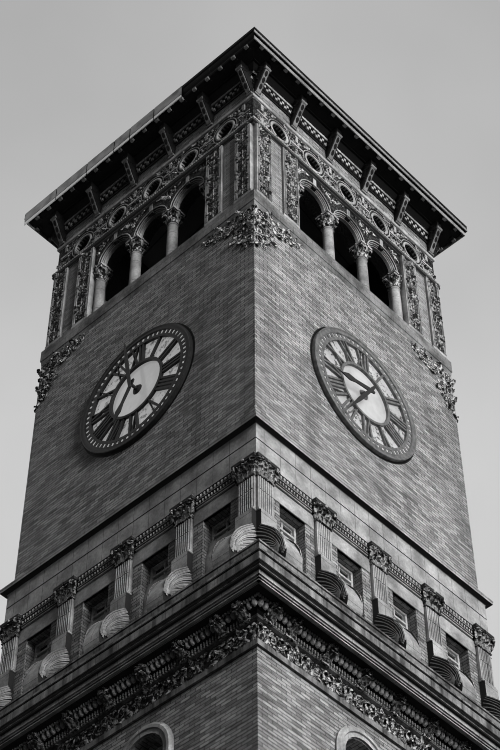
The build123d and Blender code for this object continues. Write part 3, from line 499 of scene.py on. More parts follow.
def cut_clay(name, pale, dark, grain=20):
    """Ornament cut in the round: pale where it stands out, painted black as shade a few centimetres behind
    and in scattered patches of cuts.
    """
    material, tree, shader = start_finish(name, 0.72)
    fine = add(tree, "MapRange", (noise(tree, grain, 2, 0.6), 0.48, 0.58, 0.0, 0.85))
    broad = add(tree, "MapRange", (noise(tree, 0.45 * grain, 2, 0.5), 0.51, 0.57))
    cuts = add(tree, "Math", (fine, broad), operation="MAXIMUM")
    colour = add(tree, "Mix", (cuts, pale, dark), data_type="RGBA")
    raised = add(tree, "Math", (1.0, cuts), operation="SUBTRACT")
    paint(tree, shader, shaded_and_sooted(tree, colour, "080808", 0.07, 0.98), raised, 0.012)
    return material


def acanthus(name):
    """Acanthus leaf one metre high, rooted at the origin: lobed, ribbed, its tip bent out and down."""
    rows = len(LEAF_ROWS) - 1
    bpy.ops.mesh.primitive_grid_add(x_subdivisions=4, y_subdivisions=rows, size=1,
                                    location=(0, 0, 0.5), rotation=(math.pi / 2, 0, 0))
    leaf = bpy.context.object
    leaf.name = name
    bpy.ops.object.transform_apply()
    for corner in leaf.data.vertices:
        width, out, up = LEAF_ROWS[round(corner.co.z * rows)]
        rib = LEAF_RIB[round(abs(corner.co.x) * 4)]
        corner.co = (corner.co.x * width, -(out + rib), up)
    thick = leaf.modifiers.new("thick", "SOLIDIFY")
    thick.thickness = 0.05
    thick.offset = -1
    bpy.ops.object.modifier_apply(modifier="thick")
    return leaf


def volute(name, radius, thick, sides=6, halves=3, steps=4, shrink=0.64, taper=0.84):
    """Round bar wound inwards in the plane of the face, in half turns that grow smaller."""
    bpy.ops.mesh.primitive_circle_add(vertices=sides, radius=thick, location=(radius, 0, 0))
    piece = bpy.context.object
    piece.name = name
    bpy.ops.object.transform_apply()
    bpy.ops.object.mode_set(mode="EDIT")
    bpy.ops.mesh.select_all(action="SELECT")
    middle, reach, way = 0.0, radius, 1
    for half in range(halves):
        bpy.ops.mesh.spin(steps=steps, angle=math.pi, center=(middle, 0, 0), axis=(0, -1, 0))
        place = middle - way * reach
        bpy.ops.transform.resize(value=(taper, taper, taper), center_override=(place, 0, 0))
        reach *= shrink
        middle = place + way * reach
        way = -way
    closed(piece)
    bpy.ops.mesh.primitive_uv_sphere_add(segments=6, ring_count=4, radius=1.5 * thick,
                                         location=(middle, 0, 0), scale=(1, 0.8, 1))
    bpy.ops.object.transform_apply()
    return joined(name, [piece, bpy.context.object])


def spray(name, radius=0.72):
    """Scroll of about a metre with three leaves that spring from its back."""
    scroll = volute(name, radius, 0.11)
    leaves = set_out(acanthus("leaf"), [dict(to=(radius * math.cos(angle), 0.02, radius * math.sin(angle)),
                                             size=(0.62, 0.5, 0.62), tip=math.pi / 2 - angle - 0.9)
                                        for angle in (0.3, 1.3, 2.4)])
    return joined(name, [scroll, *leaves])


def spaced(spacing, count):
    """Places of a row of things, centred on the face."""
    return [spacing * (index - (count - 1) / 2) for index in range(count)]


cut_terracotta = cut_clay("cut_terracotta", "e2e2e2", "1c1c1c")
running = set_out(spray("cornice_scroll"), [
    dict(to=(across, CORNICE_FRIEZE_FACE, CORNICE_FRIEZE - 0.01 * way), size=(0.185, 0.19, 0.185 * way))
    for across, way in zip(spaced(SCROLL_PITCH, 12), (-1, 1) * 6)])
leaf = acanthus("loose_leaf")
for across, way in zip(spaced(SCROLL_PITCH, 13), (1, -1) * 7):
    running += [copied(leaf, (across + shift, CORNICE_FRIEZE_FACE, CORNICE_FRIEZE + rise * way),
                       (0.10, 0.15, 0.14 * way), tip * way) for shift, rise, tip in FAN]
fitted("cornice_frieze_scrolls", running, cut_terracotta)

# Bed mouldings of the cornice: beads on the fascia, a row of eggs with a row of drops over it,
# and under the corona two bands and two fillets that hide the back of its soffit.
FASCIA_FACE = 3.16
CORONA_BANDS = ((3.700, 21.388, 21.502), (3.672, 21.358, 21.388), (3.652, 21.322, 21.344),
                (3.625, 21.344, 21.358))


def egg(name, width, height, proud, to=(0, 0, 0)):
    """Egg of a moulding, cut off at the back, at its place across, out and up."""
    bpy.ops.mesh.primitive_uv_sphere_add(segments=8, ring_count=5, radius=0.5)
    piece = bpy.context.object
    piece.name = name
    bpy.ops.object.mode_set(mode="EDIT")
    bpy.ops.mesh.select_all(action="SELECT")
    bpy.ops.transform.resize(value=(width, 2 * proud, height), center_override=(0, 0, 0))
    bpy.ops.mesh.bisect(plane_co=(0, 0.004, 0), plane_no=(0, 1, 0), clear_outer=True, use_fill=True)
    bpy.ops.object.mode_set(mode="OBJECT")
    piece.data.transform(Matrix.Translation((to[0], -to[1], to[2])))
    return piece


def row(piece, count, step):
    """Repeats a piece across the face, centred on where it stands."""
    piece.data.transform(Matrix.Translation((-step * (count - 1) / 2, 0, 0)))
    array = piece.modifiers.new("row", "ARRAY")
    array.count = count
    array.use_relative_offset = False
    array.use_constant_offset = True
    array.constant_offset_displace = (step, 0, 0)
    only(piece)
    bpy.ops.object.modifier_apply(modifier="row")
    return piece


def flat_band(name, across, out, up, thick):
    """Flat band along the face, between two places across and two heights."""
    (start, end), (low, high) = across, up
    return run(name, [(start, out - thick, low), (start, out, low), (start, out, high),
                      (start, out - thick, high)], (end - start, 0, 0))


bed = [row(block("cornice_bead", (-0.014, 0.014), (FASCIA_FACE, 3.200), (21.262, 21.335)), 96, 0.0635),
       row(egg("cornice_bead", 0.036, 0.036, 0.022, (0, 3.172, 21.238)), 96, 0.0635),
       row(egg("cornice_egg", 0.107, 0.150, 0.075, (0, 3.250, 21.400)), 60, 0.1085),
       row(egg("cornice_drop", 0.050, 0.060, 0.040, (0, 3.315, 21.455)), 120, 0.0560)]
# The bed ornament is painted much paler than the other terracotta: painted light on eggs and beads that lie
# in the shade of the corona.
painted_light_clay = fired("painted_light_terracotta", "f0f0f0", "c0c0c0", 0.45, most=0.6, shade_and_soot="303030")
fitted("cornice_bed_ornament", bed, painted_light_clay)
fitted("corona_bands", [flat_band("corona_band", (-out, out), out, (low, high), 0.06)
                        for out, low, high in CORONA_BANDS], terracotta)

# Modillions: upright terracotta consoles. A leaf folds over the nose of each, a scroll is cut on
# each side, and its foot stands on a small ribbed block on the fascia.
MODILLION_PLACES = [dict(to=(x, 0, 0)) for x in spaced(0.823, 7) + [-2.928, 2.928]]
MODILLION_HALF, MODILLION_FOOT = 0.080, (-0.095, 0.095)
MODILLION_SIDE = ((3.16, 21.20), (3.205, 21.20), (3.215, 21.27), (3.245, 21.33), (3.31, 21.365),
                  (3.385, 21.385), (3.415, 21.43), (3.395, 21.475), (3.16, 21.475))
modillion = [run("modillion_body", [(-MODILLION_HALF, out, up) for out, up in MODILLION_SIDE],
                 (2 * MODILLION_HALF, 0, 0)),
             block("modillion_foot", MODILLION_FOOT, (FASCIA_FACE, 3.225), (21.318, 21.348))]
modillion += [block("modillion_foot", MODILLION_FOOT, (FASCIA_FACE, out), (up, up + 0.018), 0.004)
              for out, up in ((3.215, 21.185), (3.207, 21.215), (3.20, 21.245))]
modillion += [copied(leaf, (across, 3.215 + 0.02 * tier, 21.24 + 0.05 * tier), (0.11, 0.22, 0.21), lean=0.75)
              for across, tier in ((-0.04, 0), (0.04, 0), (0, 1))]
modillion += [copied(leaf, (across, 3.36, 21.37), (0.09, 0.10, 0.11), lean=0.3) for across in (-0.045, 0.045)]
side_scroll = volute("modillion_scroll", 0.052, 0.015, 5)
modillion += [copied(side_scroll, (side * 0.086, out, up), (size, 1, size), turn=math.pi / 2)
              for out, up, size in ((3.335, 21.425, 1), (3.23, 21.30, 0.6)) for side in (-1, 1)]
bpy.data.objects.remove(side_scroll)
modillion_clay = cut_clay("modillion_terracotta", "f8f8f8", "343434", 30)
fitted("modillion_ornament", modillion, modillion_clay, stands_for=("cornice_modillions",),
       places=MODILLION_PLACES)


# Pilaster storey. The pilasters are terracotta, reeded in two lengths with a joint between, on
# moulded feet; bowed aprons of the same clay fill the feet of the windows between them.
PILASTERS = [dict(to=(x, 0, 0)) for x in spaced(1.443, 5)]
BAYS = [dict(to=(x, 0, 0)) for x in spaced(1.443, 4)]
REED_HALF, REED_PROUD, PILASTER_FACE = 0.017, 0.022, 3.114
for name in ("window_aprons", "pilasters"):
    dress(nodes[name], terracotta)
reed = [(REED_HALF * math.cos(a), PILASTER_FACE + REED_PROUD * math.sin(a))
        for a in (math.pi * k / 4 for k in range(5))]
reeds = [row(run("pilaster_reed", [(x, out, low) for x, out in reed], (0, 0, high - low)), 7, 0.047)
         for low, high in ((23.675, 24.10), (24.115, 24.40))]
feet = [block("pilaster_foot", (-0.205, 0.205), (3.05, 3.160), (23.589, 23.635), 0.012),
        block("pilaster_foot", (-0.193, 0.193), (3.05, 3.145), (23.635, 23.665), 0.008)]
fitted("pilaster_reeds", reeds + feet, terracotta, places=PILASTERS)

# Windows of the pilaster storey: flat limestone lintels on brick jambs, and painted sashes that
# stand deep behind them.
LINTEL_FOOT, SASH_FOOT = 24.226, 22.66
lintel = [block("window_lintel", (-0.535, 0.535), (3.0, 3.066), (LINTEL_FOOT, 24.545)),
          block("lintel_fillet", (-0.455, 0.455), (3.0, 3.098), (24.553, 24.578), 0.005)]
pale_limestone = fired("pale_limestone", "cacaca", "929292", most=0.6)
fitted("window_lintels", lintel, pale_limestone, places=BAYS)
bars = [block("sash_stile", (x - 0.025, x + 0.025), (2.78, 2.85), (SASH_FOOT, LINTEL_FOOT), 0.005)
        for x in (-0.29, 0.29)]
bars += [block("sash_rail", (-0.3155, 0.3155), (2.78, 2.845), (up - 0.022, up + 0.022), 0.005)
         for up in (24.204, 23.98)]
bars.append(block("sash_bar", (-0.018, 0.018), (2.77, 2.82), (SASH_FOOT, 24.19), 0.004))
fitted("sash_bars", bars, timber, places=BAYS)
dress(nodes["sash_frames"], timber)

# Corinthian capitals of the pilasters: a double astragal, two rows of acanthus on the bell, and a
# scroll under each corner of the wide thin abacus. All cast in one with the bell.
LOWER_LEAVES, UPPER_LEAVES = 24.475, 24.565


def coursed(name, pale, dark, block_length=NO_JOINTS, courses=(), shade_and_soot="161616"):
    """Material of a moulding whose sunk courses are painted black as shade."""
    material, tree, shader = start_finish(name, 0.74)
    colour, relief = clay(tree, pale, dark, block_length, NO_JOINTS, 0.85, shade_and_soot)
    paint(tree, shader, shade_courses(tree, colour, shade_and_soot, courses), relief, 0.003)
    return material


# A course of the abacus is painted dark as shade.
abacus_clay = coursed("abacus_terracotta", "a8a8a8", "6c6c6c", courses=((24.800, 24.858),), shade_and_soot="303030")
dress(nodes["pilaster_capitals"], abacus_clay)
curl = volute("capital_scroll", 0.055, 0.017)
capital = [block("capital_astragal", (-0.203, 0.203), (3.05, 3.155), (24.412, 24.438), 0.01),
           block("capital_astragal", (-0.190, 0.190), (3.05, 3.138), (24.452, 24.470), 0.007)]
capital += [copied(leaf, (0.098 * step, 3.115, LOWER_LEAVES), (0.105, 0.17, 0.155), 0.05 * step)
            for step in (-1.5, -0.5, 0.5, 1.5)]
capital += [copied(leaf, (0.105 * step, 3.135, UPPER_LEAVES), (0.11, 0.16, 0.20), 0.09 * step)
            for step in (-2, -1, 0, 1, 2)]
for side in (-1, 1):
    capital += [copied(leaf, (side * half, 3.085, foot), (0.11, 0.17, high), turn=side * math.pi / 2)
                for foot, high, half in ((LOWER_LEAVES, 0.155, 0.188), (UPPER_LEAVES, 0.20, 0.205))]
    capital.append(copied(curl, (side * 0.225, 3.19, 24.742), (side, 1.3, 1), turn=side * math.pi / 5))
    capital.append(copied(curl, (side * 0.045, 3.185, 24.752), (-0.6 * side, 1, 0.6)))
capital.append(egg("abacus_flower", 0.07, 0.075, 0.03, (0, 3.195, 24.825)))
weathered_leafage = cut_clay("weathered_cut_terracotta", "c0c0c0", "1c1c1c")
fitted("pilaster_capital_leaves", capital, weathered_leafage, places=PILASTERS)

# Band between the capitals: bulbs under the fascia, and a row of small drops below them, cut
# free of a ground painted dark as shade.
BAND_ENDS, BAND_GROUND = (-0.4565, 0.4565), 3.05
dress(nodes["leaf_bands"], coursed("band_terracotta", "505050", "303030"))
band = [row(egg("band_bulb", 0.060, 0.095, 0.034, (0, 3.095, 24.80)), 11, 0.0815),
        row(egg("band_drop", 0.042, 0.075, 0.030, (0, 3.095, 24.668)), 13, 0.0690),
        block("band_fillet", BAND_ENDS, (BAND_GROUND, 3.118), (24.728, 24.744), 0.004),
        block("band_fillet", BAND_ENDS, (BAND_GROUND, 3.112), (24.595, 24.612), 0.004)]
fitted("leaf_band_ornament", band, terracotta, places=BAYS)

# Consoles under the pilasters: terracotta, jointed once in the front. Their fronts are pale, and
# their cheeks are painted black as shade between the carved ridges.
console_clay, tree, shader = start_finish("console_terracotta", 0.74)
colour, relief = clay(tree, "d0d0d0", "929292", NO_JOINTS, 0.42, 0.85, "181818")
turned_to = unsigned(tree, facing(tree))
beside = add(tree, "Math", unsigned(tree, spot(tree))[:2], operation="GREATER_THAN")
cheek_share = add(tree, "Mix", (beside, turned_to[0], turned_to[1]))
colour = add(tree, "Mix", (cheek_share, colour, "2a2a2a"), data_type="RGBA")
paint(tree, shader, colour, relief, 0.003)
dress(nodes["scroll_consoles"], console_clay)

# Shells on the consoles' cheeks: ridges spring from an eye behind the nose and fan back to the
# wall, inside three cords that follow the long front edge. Their crests are painted pale as highlights, and
# the cheeks on the front and back are painted dark as shade.
EYE_OUT, EYE_UP, CHEEK = 3.600, 22.400, 0.183
SHELL_RIDGES, SHELL_TOP, RIDGE_STEP = 12, 23.10, 0.082
CORD_INSETS = (0.014, 0.048, 0.086)
FRONT_EDGE = ((3.690, 22.345), (3.695, 22.402), (3.655, 22.62), (3.572, 22.80), (3.458, 22.96),
              (3.325, 23.10), (3.19, 23.225))


def bent(start, end, rise, steps=7):
    """Places on a bow from start to end, with its rise square to the chord, as out and up."""
    (x0, z0), (x1, z1) = start, end
    length = math.hypot(x1 - x0, z1 - z0)
    across, along = ((z1 - z0) / length, (x0 - x1) / length), [k / steps for k in range(steps + 1)]
    return [(x0 + (x1 - x0) * t + across[0] * 4 * rise * t * (1 - t),
             z0 + (z1 - z0) * t + across[1] * 4 * rise * t * (1 - t)) for t in along]


def cord(name, path, first, last, thick):
    """Flat bar on a cheek along a path, growing from the first to the last width."""
    sides = [[], []]
    for index, (out, up) in enumerate(path):
        before, after = path[max(index - 1, 0)], path[min(index + 1, len(path) - 1)]
        way = Vector((after[0] - before[0], after[1] - before[1])).normalized()
        half = (first + (last - first) * index / (len(path) - 1)) / 2
        sides[0].append((CHEEK, out - way.y * half, up + way.x * half))
        sides[1].append((CHEEK, out + way.y * half, up - way.x * half))
    return run(name, sides[0] + sides[1][::-1], (thick, 0, 0))


edges = [[(out - 0.75 * inset, up - 0.66 * inset) for out, up in FRONT_EDGE] for inset in CORD_INSETS]
bows = [bent((EYE_OUT, EYE_UP), (3.10 - 0.03 * min(index, 2) / 2, SHELL_TOP - RIDGE_STEP * index),
             0.085 - 0.010 * index) for index in range(SHELL_RIDGES)]
shell = [cord("edge_cord", edge, wide, wide, thick)
         for edge, wide, thick in zip(edges, (0.024, 0.030, 0.030), (0.014, 0.018, 0.022))]
shell += [cord("shell_ridge", bow, 0.018, 0.062 - 0.0006 * index, 0.016 + 0.010 * (index % 2))
          for index, bow in enumerate(bows)]
shell += set_out(egg("shell_eye", 0.13, 0.13, 0.040), [dict(to=(CHEEK, EYE_OUT, EYE_UP), turn=math.pi / 2)])
cheeks = [dict(size=(side, 1, 1), **place) for place in PILASTERS for side in (-1, 1)]
shell_clay, tree, shader = start_finish("carved_shell_terracotta", 0.74)
colour, relief = clay(tree, "dedede", "a8a8a8", NO_JOINTS, NO_JOINTS, 0.95, "101010")
shaded_side = unsigned(tree, facing(tree))[0]
colour = add(tree, "Mix", (shaded_side, colour, "2c2c2c"), data_type="RGBA")
paint(tree, shader, colour, relief, 0.003)
fitted("console_shells", shell, shell_clay, smooth=25, places=cheeks)
crests = [cord("shell_crest", bow, 0.006, 0.017, 0.030) for bow in bows]
crests += [cord("edge_crest", edge, 0.009, 0.009, 0.026) for edge in edges]
crest_clay = fired("crest_highlight_terracotta", "b8b8b8", "7c7c7c", most=0.3)
fitted("console_shell_crests", crests, crest_clay, smooth=25, places=cheeks)

# Entablature over the pilasters: limestone in long blocks, with two grooves painted black as shade.
GROOVES = ((25.297, 25.325), (25.660, 25.690))
grooved_limestone = coursed("grooved_limestone", "cacaca", "929292", 0.385, GROOVES)
dress(nodes["entablature"], grooved_limestone)


# Dials: skeleton castings in black painted iron over opal glass. A deep rim, a minute ring with
# sixty square lights, twelve Roman numerals between two rings, and a small rosette at the bearing.
DIAL_CENTRE, WALL_FACE, PAINTED_LIGHT_FROM = 29.04, 3.05, -3.04
NUMERAL_FOOT, NUMERAL_TOP, STROKE, HAIR = 0.71, 1.21, 0.024, 0.010
NUMERALS = ("XII", "I", "II", "III", "IIII", "V", "VI", "VII", "VIII", "IX", "X", "XI")
LETTER_WIDTH = {"I": 0.085, "V": 0.20, "X": 0.20}
DIAL_RIM = ((1.355, 0), (1.355, 0.070), (1.372, 0.080), (1.400, 0.068), (1.440, 0.068), (1.468, 0.086),
            (1.483, 0.078), (1.483, 0))
ROSETTE = ((0.052, 0), (0.052, 0.05), (0.075, 0.042), (0.11, 0.012), (0.12, 0))


def ring(name, section, steps):
    """Ring of a dial, from its section as radius and distance proud of the wall."""
    return swung(name, [(radius, WALL_FACE + proud) for radius, proud in section], DIAL_CENTRE,
                 2 * math.pi, steps)


def on_dial(piece, minutes):
    """Turns a copy of a piece that stands at twelve o'clock to its place on the dial."""
    centre = Matrix.Translation((0, 0, DIAL_CENTRE))
    made = copied(piece)
    made.data.transform(centre @ Matrix.Rotation(math.radians(6 * minutes), 4, "Y") @ centre.inverted())
    return made


# The castings on the front face are painted pale grey as painted light; on the other faces they stay black.
# Rust mottles both.
dial_iron, tree, shader = start_finish("painted_cast_iron", 0.5, 1.3)
rust = add(tree, "MapRange", (noise(tree, 9, 4), 0.35, 0.70))
black_paint = add(tree, "Mix", (rust, "101010", "202020"), data_type="RGBA")
painted_lit_tone = add(tree, "Mix", (rust, "505050", "7c7c7c"), data_type="RGBA")
painted_light_side = add(tree, "Math", (spot(tree)["Y"], PAINTED_LIGHT_FROM), operation="LESS_THAN")
colour = add(tree, "Mix", (painted_light_side, black_paint, painted_lit_tone), data_type="RGBA")
paint(tree, shader, colour, noise(tree, 70, 3), 0.001)
castings = [ring("dial_rim", DIAL_RIM, 72),
            ring("minute_ring_inner", ((1.205, 0), (1.205, 0.060), (1.268, 0.060), (1.268, 0)), 60),
            ring("hour_ring", ((0.656, 0), (0.656, 0.060), (0.716, 0.060), (0.716, 0)), 60),
            ring("bearing_rosette", ROSETTE, 24)]
post = block("minute_post", (-0.037, 0.037), (WALL_FACE, WALL_FACE + 0.058),
             (DIAL_CENTRE + 1.255, DIAL_CENTRE + 1.365), 0.003)
castings += [on_dial(post, minute + 0.5) for minute in range(60)]
bpy.data.objects.remove(post)
for hour, letters in enumerate(NUMERALS):
    across = -sum(LETTER_WIDTH[letter] for letter in letters) / 2
    for letter in letters:
        width = LETTER_WIDTH[letter]
        strokes = {"I": ((width / 2, width / 2, STROKE),),
                   "V": ((width / 2, 0.03, STROKE), (width / 2, width - 0.03, HAIR)),
                   "X": ((width - 0.03, 0.03, STROKE), (0.03, width - 0.03, HAIR))}[letter]
        for foot, top, half in strokes:
            corners = ((across + foot - half, NUMERAL_FOOT), (across + foot + half, NUMERAL_FOOT),
                       (across + top + half, NUMERAL_TOP), (across + top - half, NUMERAL_TOP))
            stroke = run("numeral_stroke", [(x, WALL_FACE, DIAL_CENTRE + up) for x, up in corners],
                         (0, 0.052, 0))
            castings.append(on_dial(stroke, 5 * hour))
            bpy.data.objects.remove(stroke)
        across += width
fitted("dial_castings", castings, dial_iron, 30, ("clock_dials",))
# A black ring round each rim, laid flat on the wall, is the rim's painted shadow.
gap = ring("dial_gap", ((1.470, 0), (1.470, 0.004), (1.532, 0.004), (1.532, 0)), 72)
dial_shadow_paint = fired("painted_dial_shadow", "141414", "0c0c0c", most=0.9, shade_and_soot="060606")
fitted("dial_gap", [gap], dial_shadow_paint)

# Opal glass of the dials: flashed white, cloudy with grime, and flaked round the numerals.
# Daylight from the other dials that comes through it from behind is painted on as a glow.
DAYLIGHT_THROUGH, FLAKED_FROM, FLAKED_GLOW = 0.26, 0.70, (0.3, 0.3, 0.3, 1)
opal, tree, shader = start_finish("opal_flashed_glass", 0.12, 1.6)
grime = add(tree, "MapRange", (noise(tree, 1.8, 5), 0.35, 0.75))
pane = add(tree, "Mix", (grime, "a8a8a8", "6c6c6c"), data_type="RGBA")
high = add(tree, "Math", (spot(tree)["Z"], DIAL_CENTRE), operation="SUBTRACT")
aside = add(tree, "Math", unsigned(tree, spot(tree))[:2], operation="MINIMUM")
reach = add(tree, "VectorMath", [add(tree, "CombineXYZ", (aside, high))], operation="LENGTH")
outer = add(tree, "Math", (reach, FLAKED_FROM), operation="GREATER_THAN")
flaked = add(tree, "MapRange", (noise(tree, 8, 5, 0.7), 0.52, 0.60))
flaked = add(tree, "Math", (outer, flaked), operation="MULTIPLY")
colour = add(tree, "Mix", (flaked, pane, "3c3c3c"), data_type="RGBA")
paint(tree, shader, colour, noise(tree, 2, 2), 0.002)
glow = add(tree, "Mix", (flaked, WHITE, FLAKED_GLOW), data_type="RGBA")
wire(tree, shader, {"Emission Color": glow, "Emission Strength": DAYLIGHT_THROUGH})
dress(nodes["dial_glass"], opal)
lights = ring("minute_lights", ((1.262, 0.020), (1.262, 0.046), (1.361, 0.046), (1.361, 0.020)), 60)
fitted("minute_lights", [lights], opal)

# Hands of the dials: beaten copper, enamelled black and dull with weather, on concentric arbors.
# They are the tower's only moving parts.
hand_metal = mottled("black_enamelled_copper", [0.4], (12, 3), (0, 1), ("1c1c1c", "343434"), (90, 2), 0.0006)
for face in FACES:
    for hand in ("minute_hand", "hour_hand"):
        dress(nodes[f"{hand}_{face}"], hand_metal)

# Corner reliefs under the belfry sill: openwork scrolls of terracotta laid straight on the brick,
# along the top of the corner and down its edge, growing thinner towards both ends.
RELIEF_FACE = 3.055
RELIEF_SCROLLS = (
    (1.83, 32.03, 0.13, 1, 1, 0.2), (2.08, 31.97, 0.16, -1, -1, 0.6), (2.36, 32.00, 0.17, 1, 1, 0.1),
    (2.62, 31.92, 0.18, -1, 1, 0.4), (2.88, 32.01, 0.17, 1, -1, 0.8), (2.86, 31.72, 0.17, -1, 1, 0.3),
    (2.66, 31.58, 0.14, 1, -1, 0.9), (2.90, 31.43, 0.15, 1, 1, 0.5), (2.74, 31.28, 0.13, -1, -1, 0.2),
    (2.92, 31.14, 0.12, 1, -1, 0.7), (2.80, 30.99, 0.10, -1, 1, 0.4))
RELIEF_LEAVES = (
    (1.95, 32.12, 1.2), (2.22, 32.12, -1.1), (2.24, 31.86, 2.4), (2.48, 32.10, 0.9), (2.50, 31.84, -2.2),
    (2.75, 32.12, -0.8), (3.00, 31.86, 0.4), (2.74, 31.80, 2.7), (2.99, 31.58, -0.5), (2.60, 31.43, -2.0),
    (2.82, 31.50, 0.7), (2.99, 31.28, 0.3), (2.85, 31.18, -1.4), (2.97, 31.00, 2.9))


def mirrored(one):
    """A piece and its mirror image on the other side of the face."""
    return [one, copied(one, size=(-1, 1, 1))]


scroll = spray("relief_scroll")
carving = [copied(scroll, (x, RELIEF_FACE, up), (size * way, 0.16, size * rise), tip)
           for x, up, size, way, rise, tip in RELIEF_SCROLLS]
carving += [copied(leaf, (x, RELIEF_FACE, up), (0.13, 0.15, 0.21), tip) for x, up, tip in RELIEF_LEAVES]
fitted("corner_relief_scrolls", mirrored(joined("corner_relief_scrolls", carving)), cut_terracotta,
       stands_for=("corner_reliefs",))


# Belfry piers: terracotta pilasters of cut foliage between thin upright fillets. Scrolls and leaves
# spring in pairs from a stem that runs from the base to the torus; a flower sits on each tier.
PANEL_FACE, TIER_FOOT, TIER_STEP, TIERS = 3.045, 32.93, 0.335, 7
PANELS = ((1.708, 2.162), (2.532, 2.968))


def sprigs(across, side, face, pieces):
    """Scrolls and leaves to one side of a place: how far aside, how high, their sizes, their tip."""
    return [copied(piece, (across + side * aside, face, up),
                   (side * wide if piece is scroll else wide, deep, high), side * tip)
            for piece, aside, up, wide, deep, high, tip in pieces]


dress(nodes["belfry_piers"], terracotta)
foliage, fillets, grounds = [], [], []
for left, right in PANELS:
    middle, half = (left + right) / 2, (right - left) / 2
    for inset, wide in ((0.012, 0.011), (0.043, 0.007), (0.068, 0.008)):
        for place in (middle - (half - inset), middle + (half - inset)):
            fillets.append(block("panel_fillet", (place - wide, place + wide),
                                 (PANEL_FACE - 0.01, PANEL_FACE + 0.026), (32.76, 35.14), 0.004))
    grounds.append(block("panel_ground", (left + 0.02, right - 0.02), (3.03, PANEL_FACE + 0.004),
                         (32.77, 35.14), 0.001))
    foliage.append(block("panel_stem", (middle - 0.013, middle + 0.013), (PANEL_FACE, PANEL_FACE + 0.024),
                         (32.78, 35.12)))
    for tier in range(TIERS):
        up = TIER_FOOT + TIER_STEP * tier
        foliage += sprigs(middle, -1 if tier % 2 else 1, PANEL_FACE, (
            (scroll, 0.045, up, 0.118, 0.14, 0.135, 0), (leaf, -0.02, up - 0.02, 0.15, 0.12, 0.19, -1),
            (leaf, 0.02, up + 0.13, 0.14, 0.12, 0.20, 0.9)))
        foliage.append(egg("panel_flower", 0.075, 0.085, 0.035, (middle, PANEL_FACE, up + 0.13)))
foliage = joined("pier_panel_foliage", foliage)
fitted("pier_panel_frames", mirrored(joined("pier_panel_frames", fillets)), terracotta)
# The grounds behind the foliage are painted dark as shade, their cut leaves with cuts painted black as shade.
shaded_ground_clay, tree, shader = start_finish("shaded_ground_terracotta", 0.74)
paint(tree, shader, *cut_leaves(tree, "6c6c6c", "0c0c0c", 16), 0.004)
fitted("pier_panel_grounds", mirrored(joined("pier_panel_grounds", grounds)), shaded_ground_clay)
fitted("pier_panel_foliage", mirrored(foliage), weathered_leafage)

# Strips between the two pilasters of a pier: pale pressed brick in the same running bond, flush
# in the recess.
strip = block("pier_strip", (2.166, 2.528), (3.0, 3.016), (32.77, 35.145), 0.003)
strip_brick = brick_finish("pale_pressed_brick", ("cacaca", "a0a0a0", "5c5c5c"))
fitted("pier_strips", mirrored(strip), strip_brick)

# Columns of the belfry: limestone shafts in three drums with a slight swelling, turned in one
# outline with their attic bases. Each stands on a square plinth.
COLUMN_OUT, COLUMN_FOOT, COLUMN_STEP = 2.836, 32.644, 1.088
SHAFT = ((0.140, 0.08), (0.150, 0.092), (0.150, 0.108), (0.138, 0.120), (0.129, 0.124), (0.127, 0.134),
         (0.138, 0.142), (0.138, 0.155), (0.127, 0.163), (0.119, 0.172), (0.118, 0.55), (0.1155, 0.95),
         (0.110, 1.30), (0.120, 1.31), (0.124, 1.325), (0.120, 1.34), (0.110, 1.361))


def turned(name, sides, profile, foot):
    """Turned upright piece, from its radii and heights above its foot."""
    bpy.ops.mesh.primitive_circle_add(vertices=sides, radius=profile[0][0], fill_type="NGON",
                                      location=(0, 0, foot + profile[0][1]))
    piece = bpy.context.object
    piece.name = name
    bpy.ops.object.transform_apply()
    bpy.ops.object.mode_set(mode="EDIT")
    bpy.ops.mesh.select_all(action="SELECT")
    for (radius, up), (wider, higher) in zip(profile, profile[1:]):
        bpy.ops.mesh.extrude_region_move(TRANSFORM_OT_translate={"value": (0, 0, higher - up)})
        bpy.ops.transform.resize(value=(wider / radius, wider / radius, 1), center_override=(0, 0, 0))
    bpy.ops.mesh.select_all(action="SELECT")
    bpy.ops.mesh.normals_make_consistent(inside=False)
    bpy.ops.object.mode_set(mode="OBJECT")
    return piece


shaft = turned("column_shaft", 28, SHAFT, COLUMN_FOOT)
plinth = block("column_plinth", (-0.155, 0.155), (-0.155, 0.155), (COLUMN_FOOT, COLUMN_FOOT + 0.08), 0.008)
columns = [dict(to=(x, COLUMN_OUT, 0)) for x in spaced(COLUMN_STEP, 4)]
column_stone = fired("tooled_limestone", "c8c8c8", "909090", 3.0, 0.66, 0.6)
fitted("belfry_column_shafts", [shaft, plinth], column_stone, 40, ("belfry_columns",),
       places=columns)

# Capitals of the columns: two rings of eight leaves, the upper between the lower, with a pair of
# scrolls at each corner of the abacus and a flower on each of its sides. Terracotta.
dress(nodes["belfry_capitals"], terracotta)
capital = []
for start, foot, height, radius in ((0, 34.008, 0.15, 0.118), (math.pi / 8, 34.07, 0.21, 0.122)):
    for angle in (start + math.pi / 4 * index for index in range(8)):
        capital.append(copied(leaf, (radius * math.sin(angle), radius * math.cos(angle), foot),
                              (0.095, 0.16, height), turn=angle))
for square in (math.pi / 2 * index for index in range(4)):
    for way in (-1, 1):
        corner = math.pi / 4 + square
        angle = corner + way * 0.13
        capital.append(copied(curl, (0.205 * math.sin(angle), 0.205 * math.cos(angle), 34.315),
                              (0.85 * way, 1, 0.85), turn=corner + way * 0.7))
    capital += set_out(egg("abacus_flower", 0.06, 0.06, 0.025), [
        dict(to=(0.175 * math.sin(square), 0.175 * math.cos(square), 34.40), turn=square)])
fitted("belfry_capital_leaves", capital, cut_terracotta, places=columns)


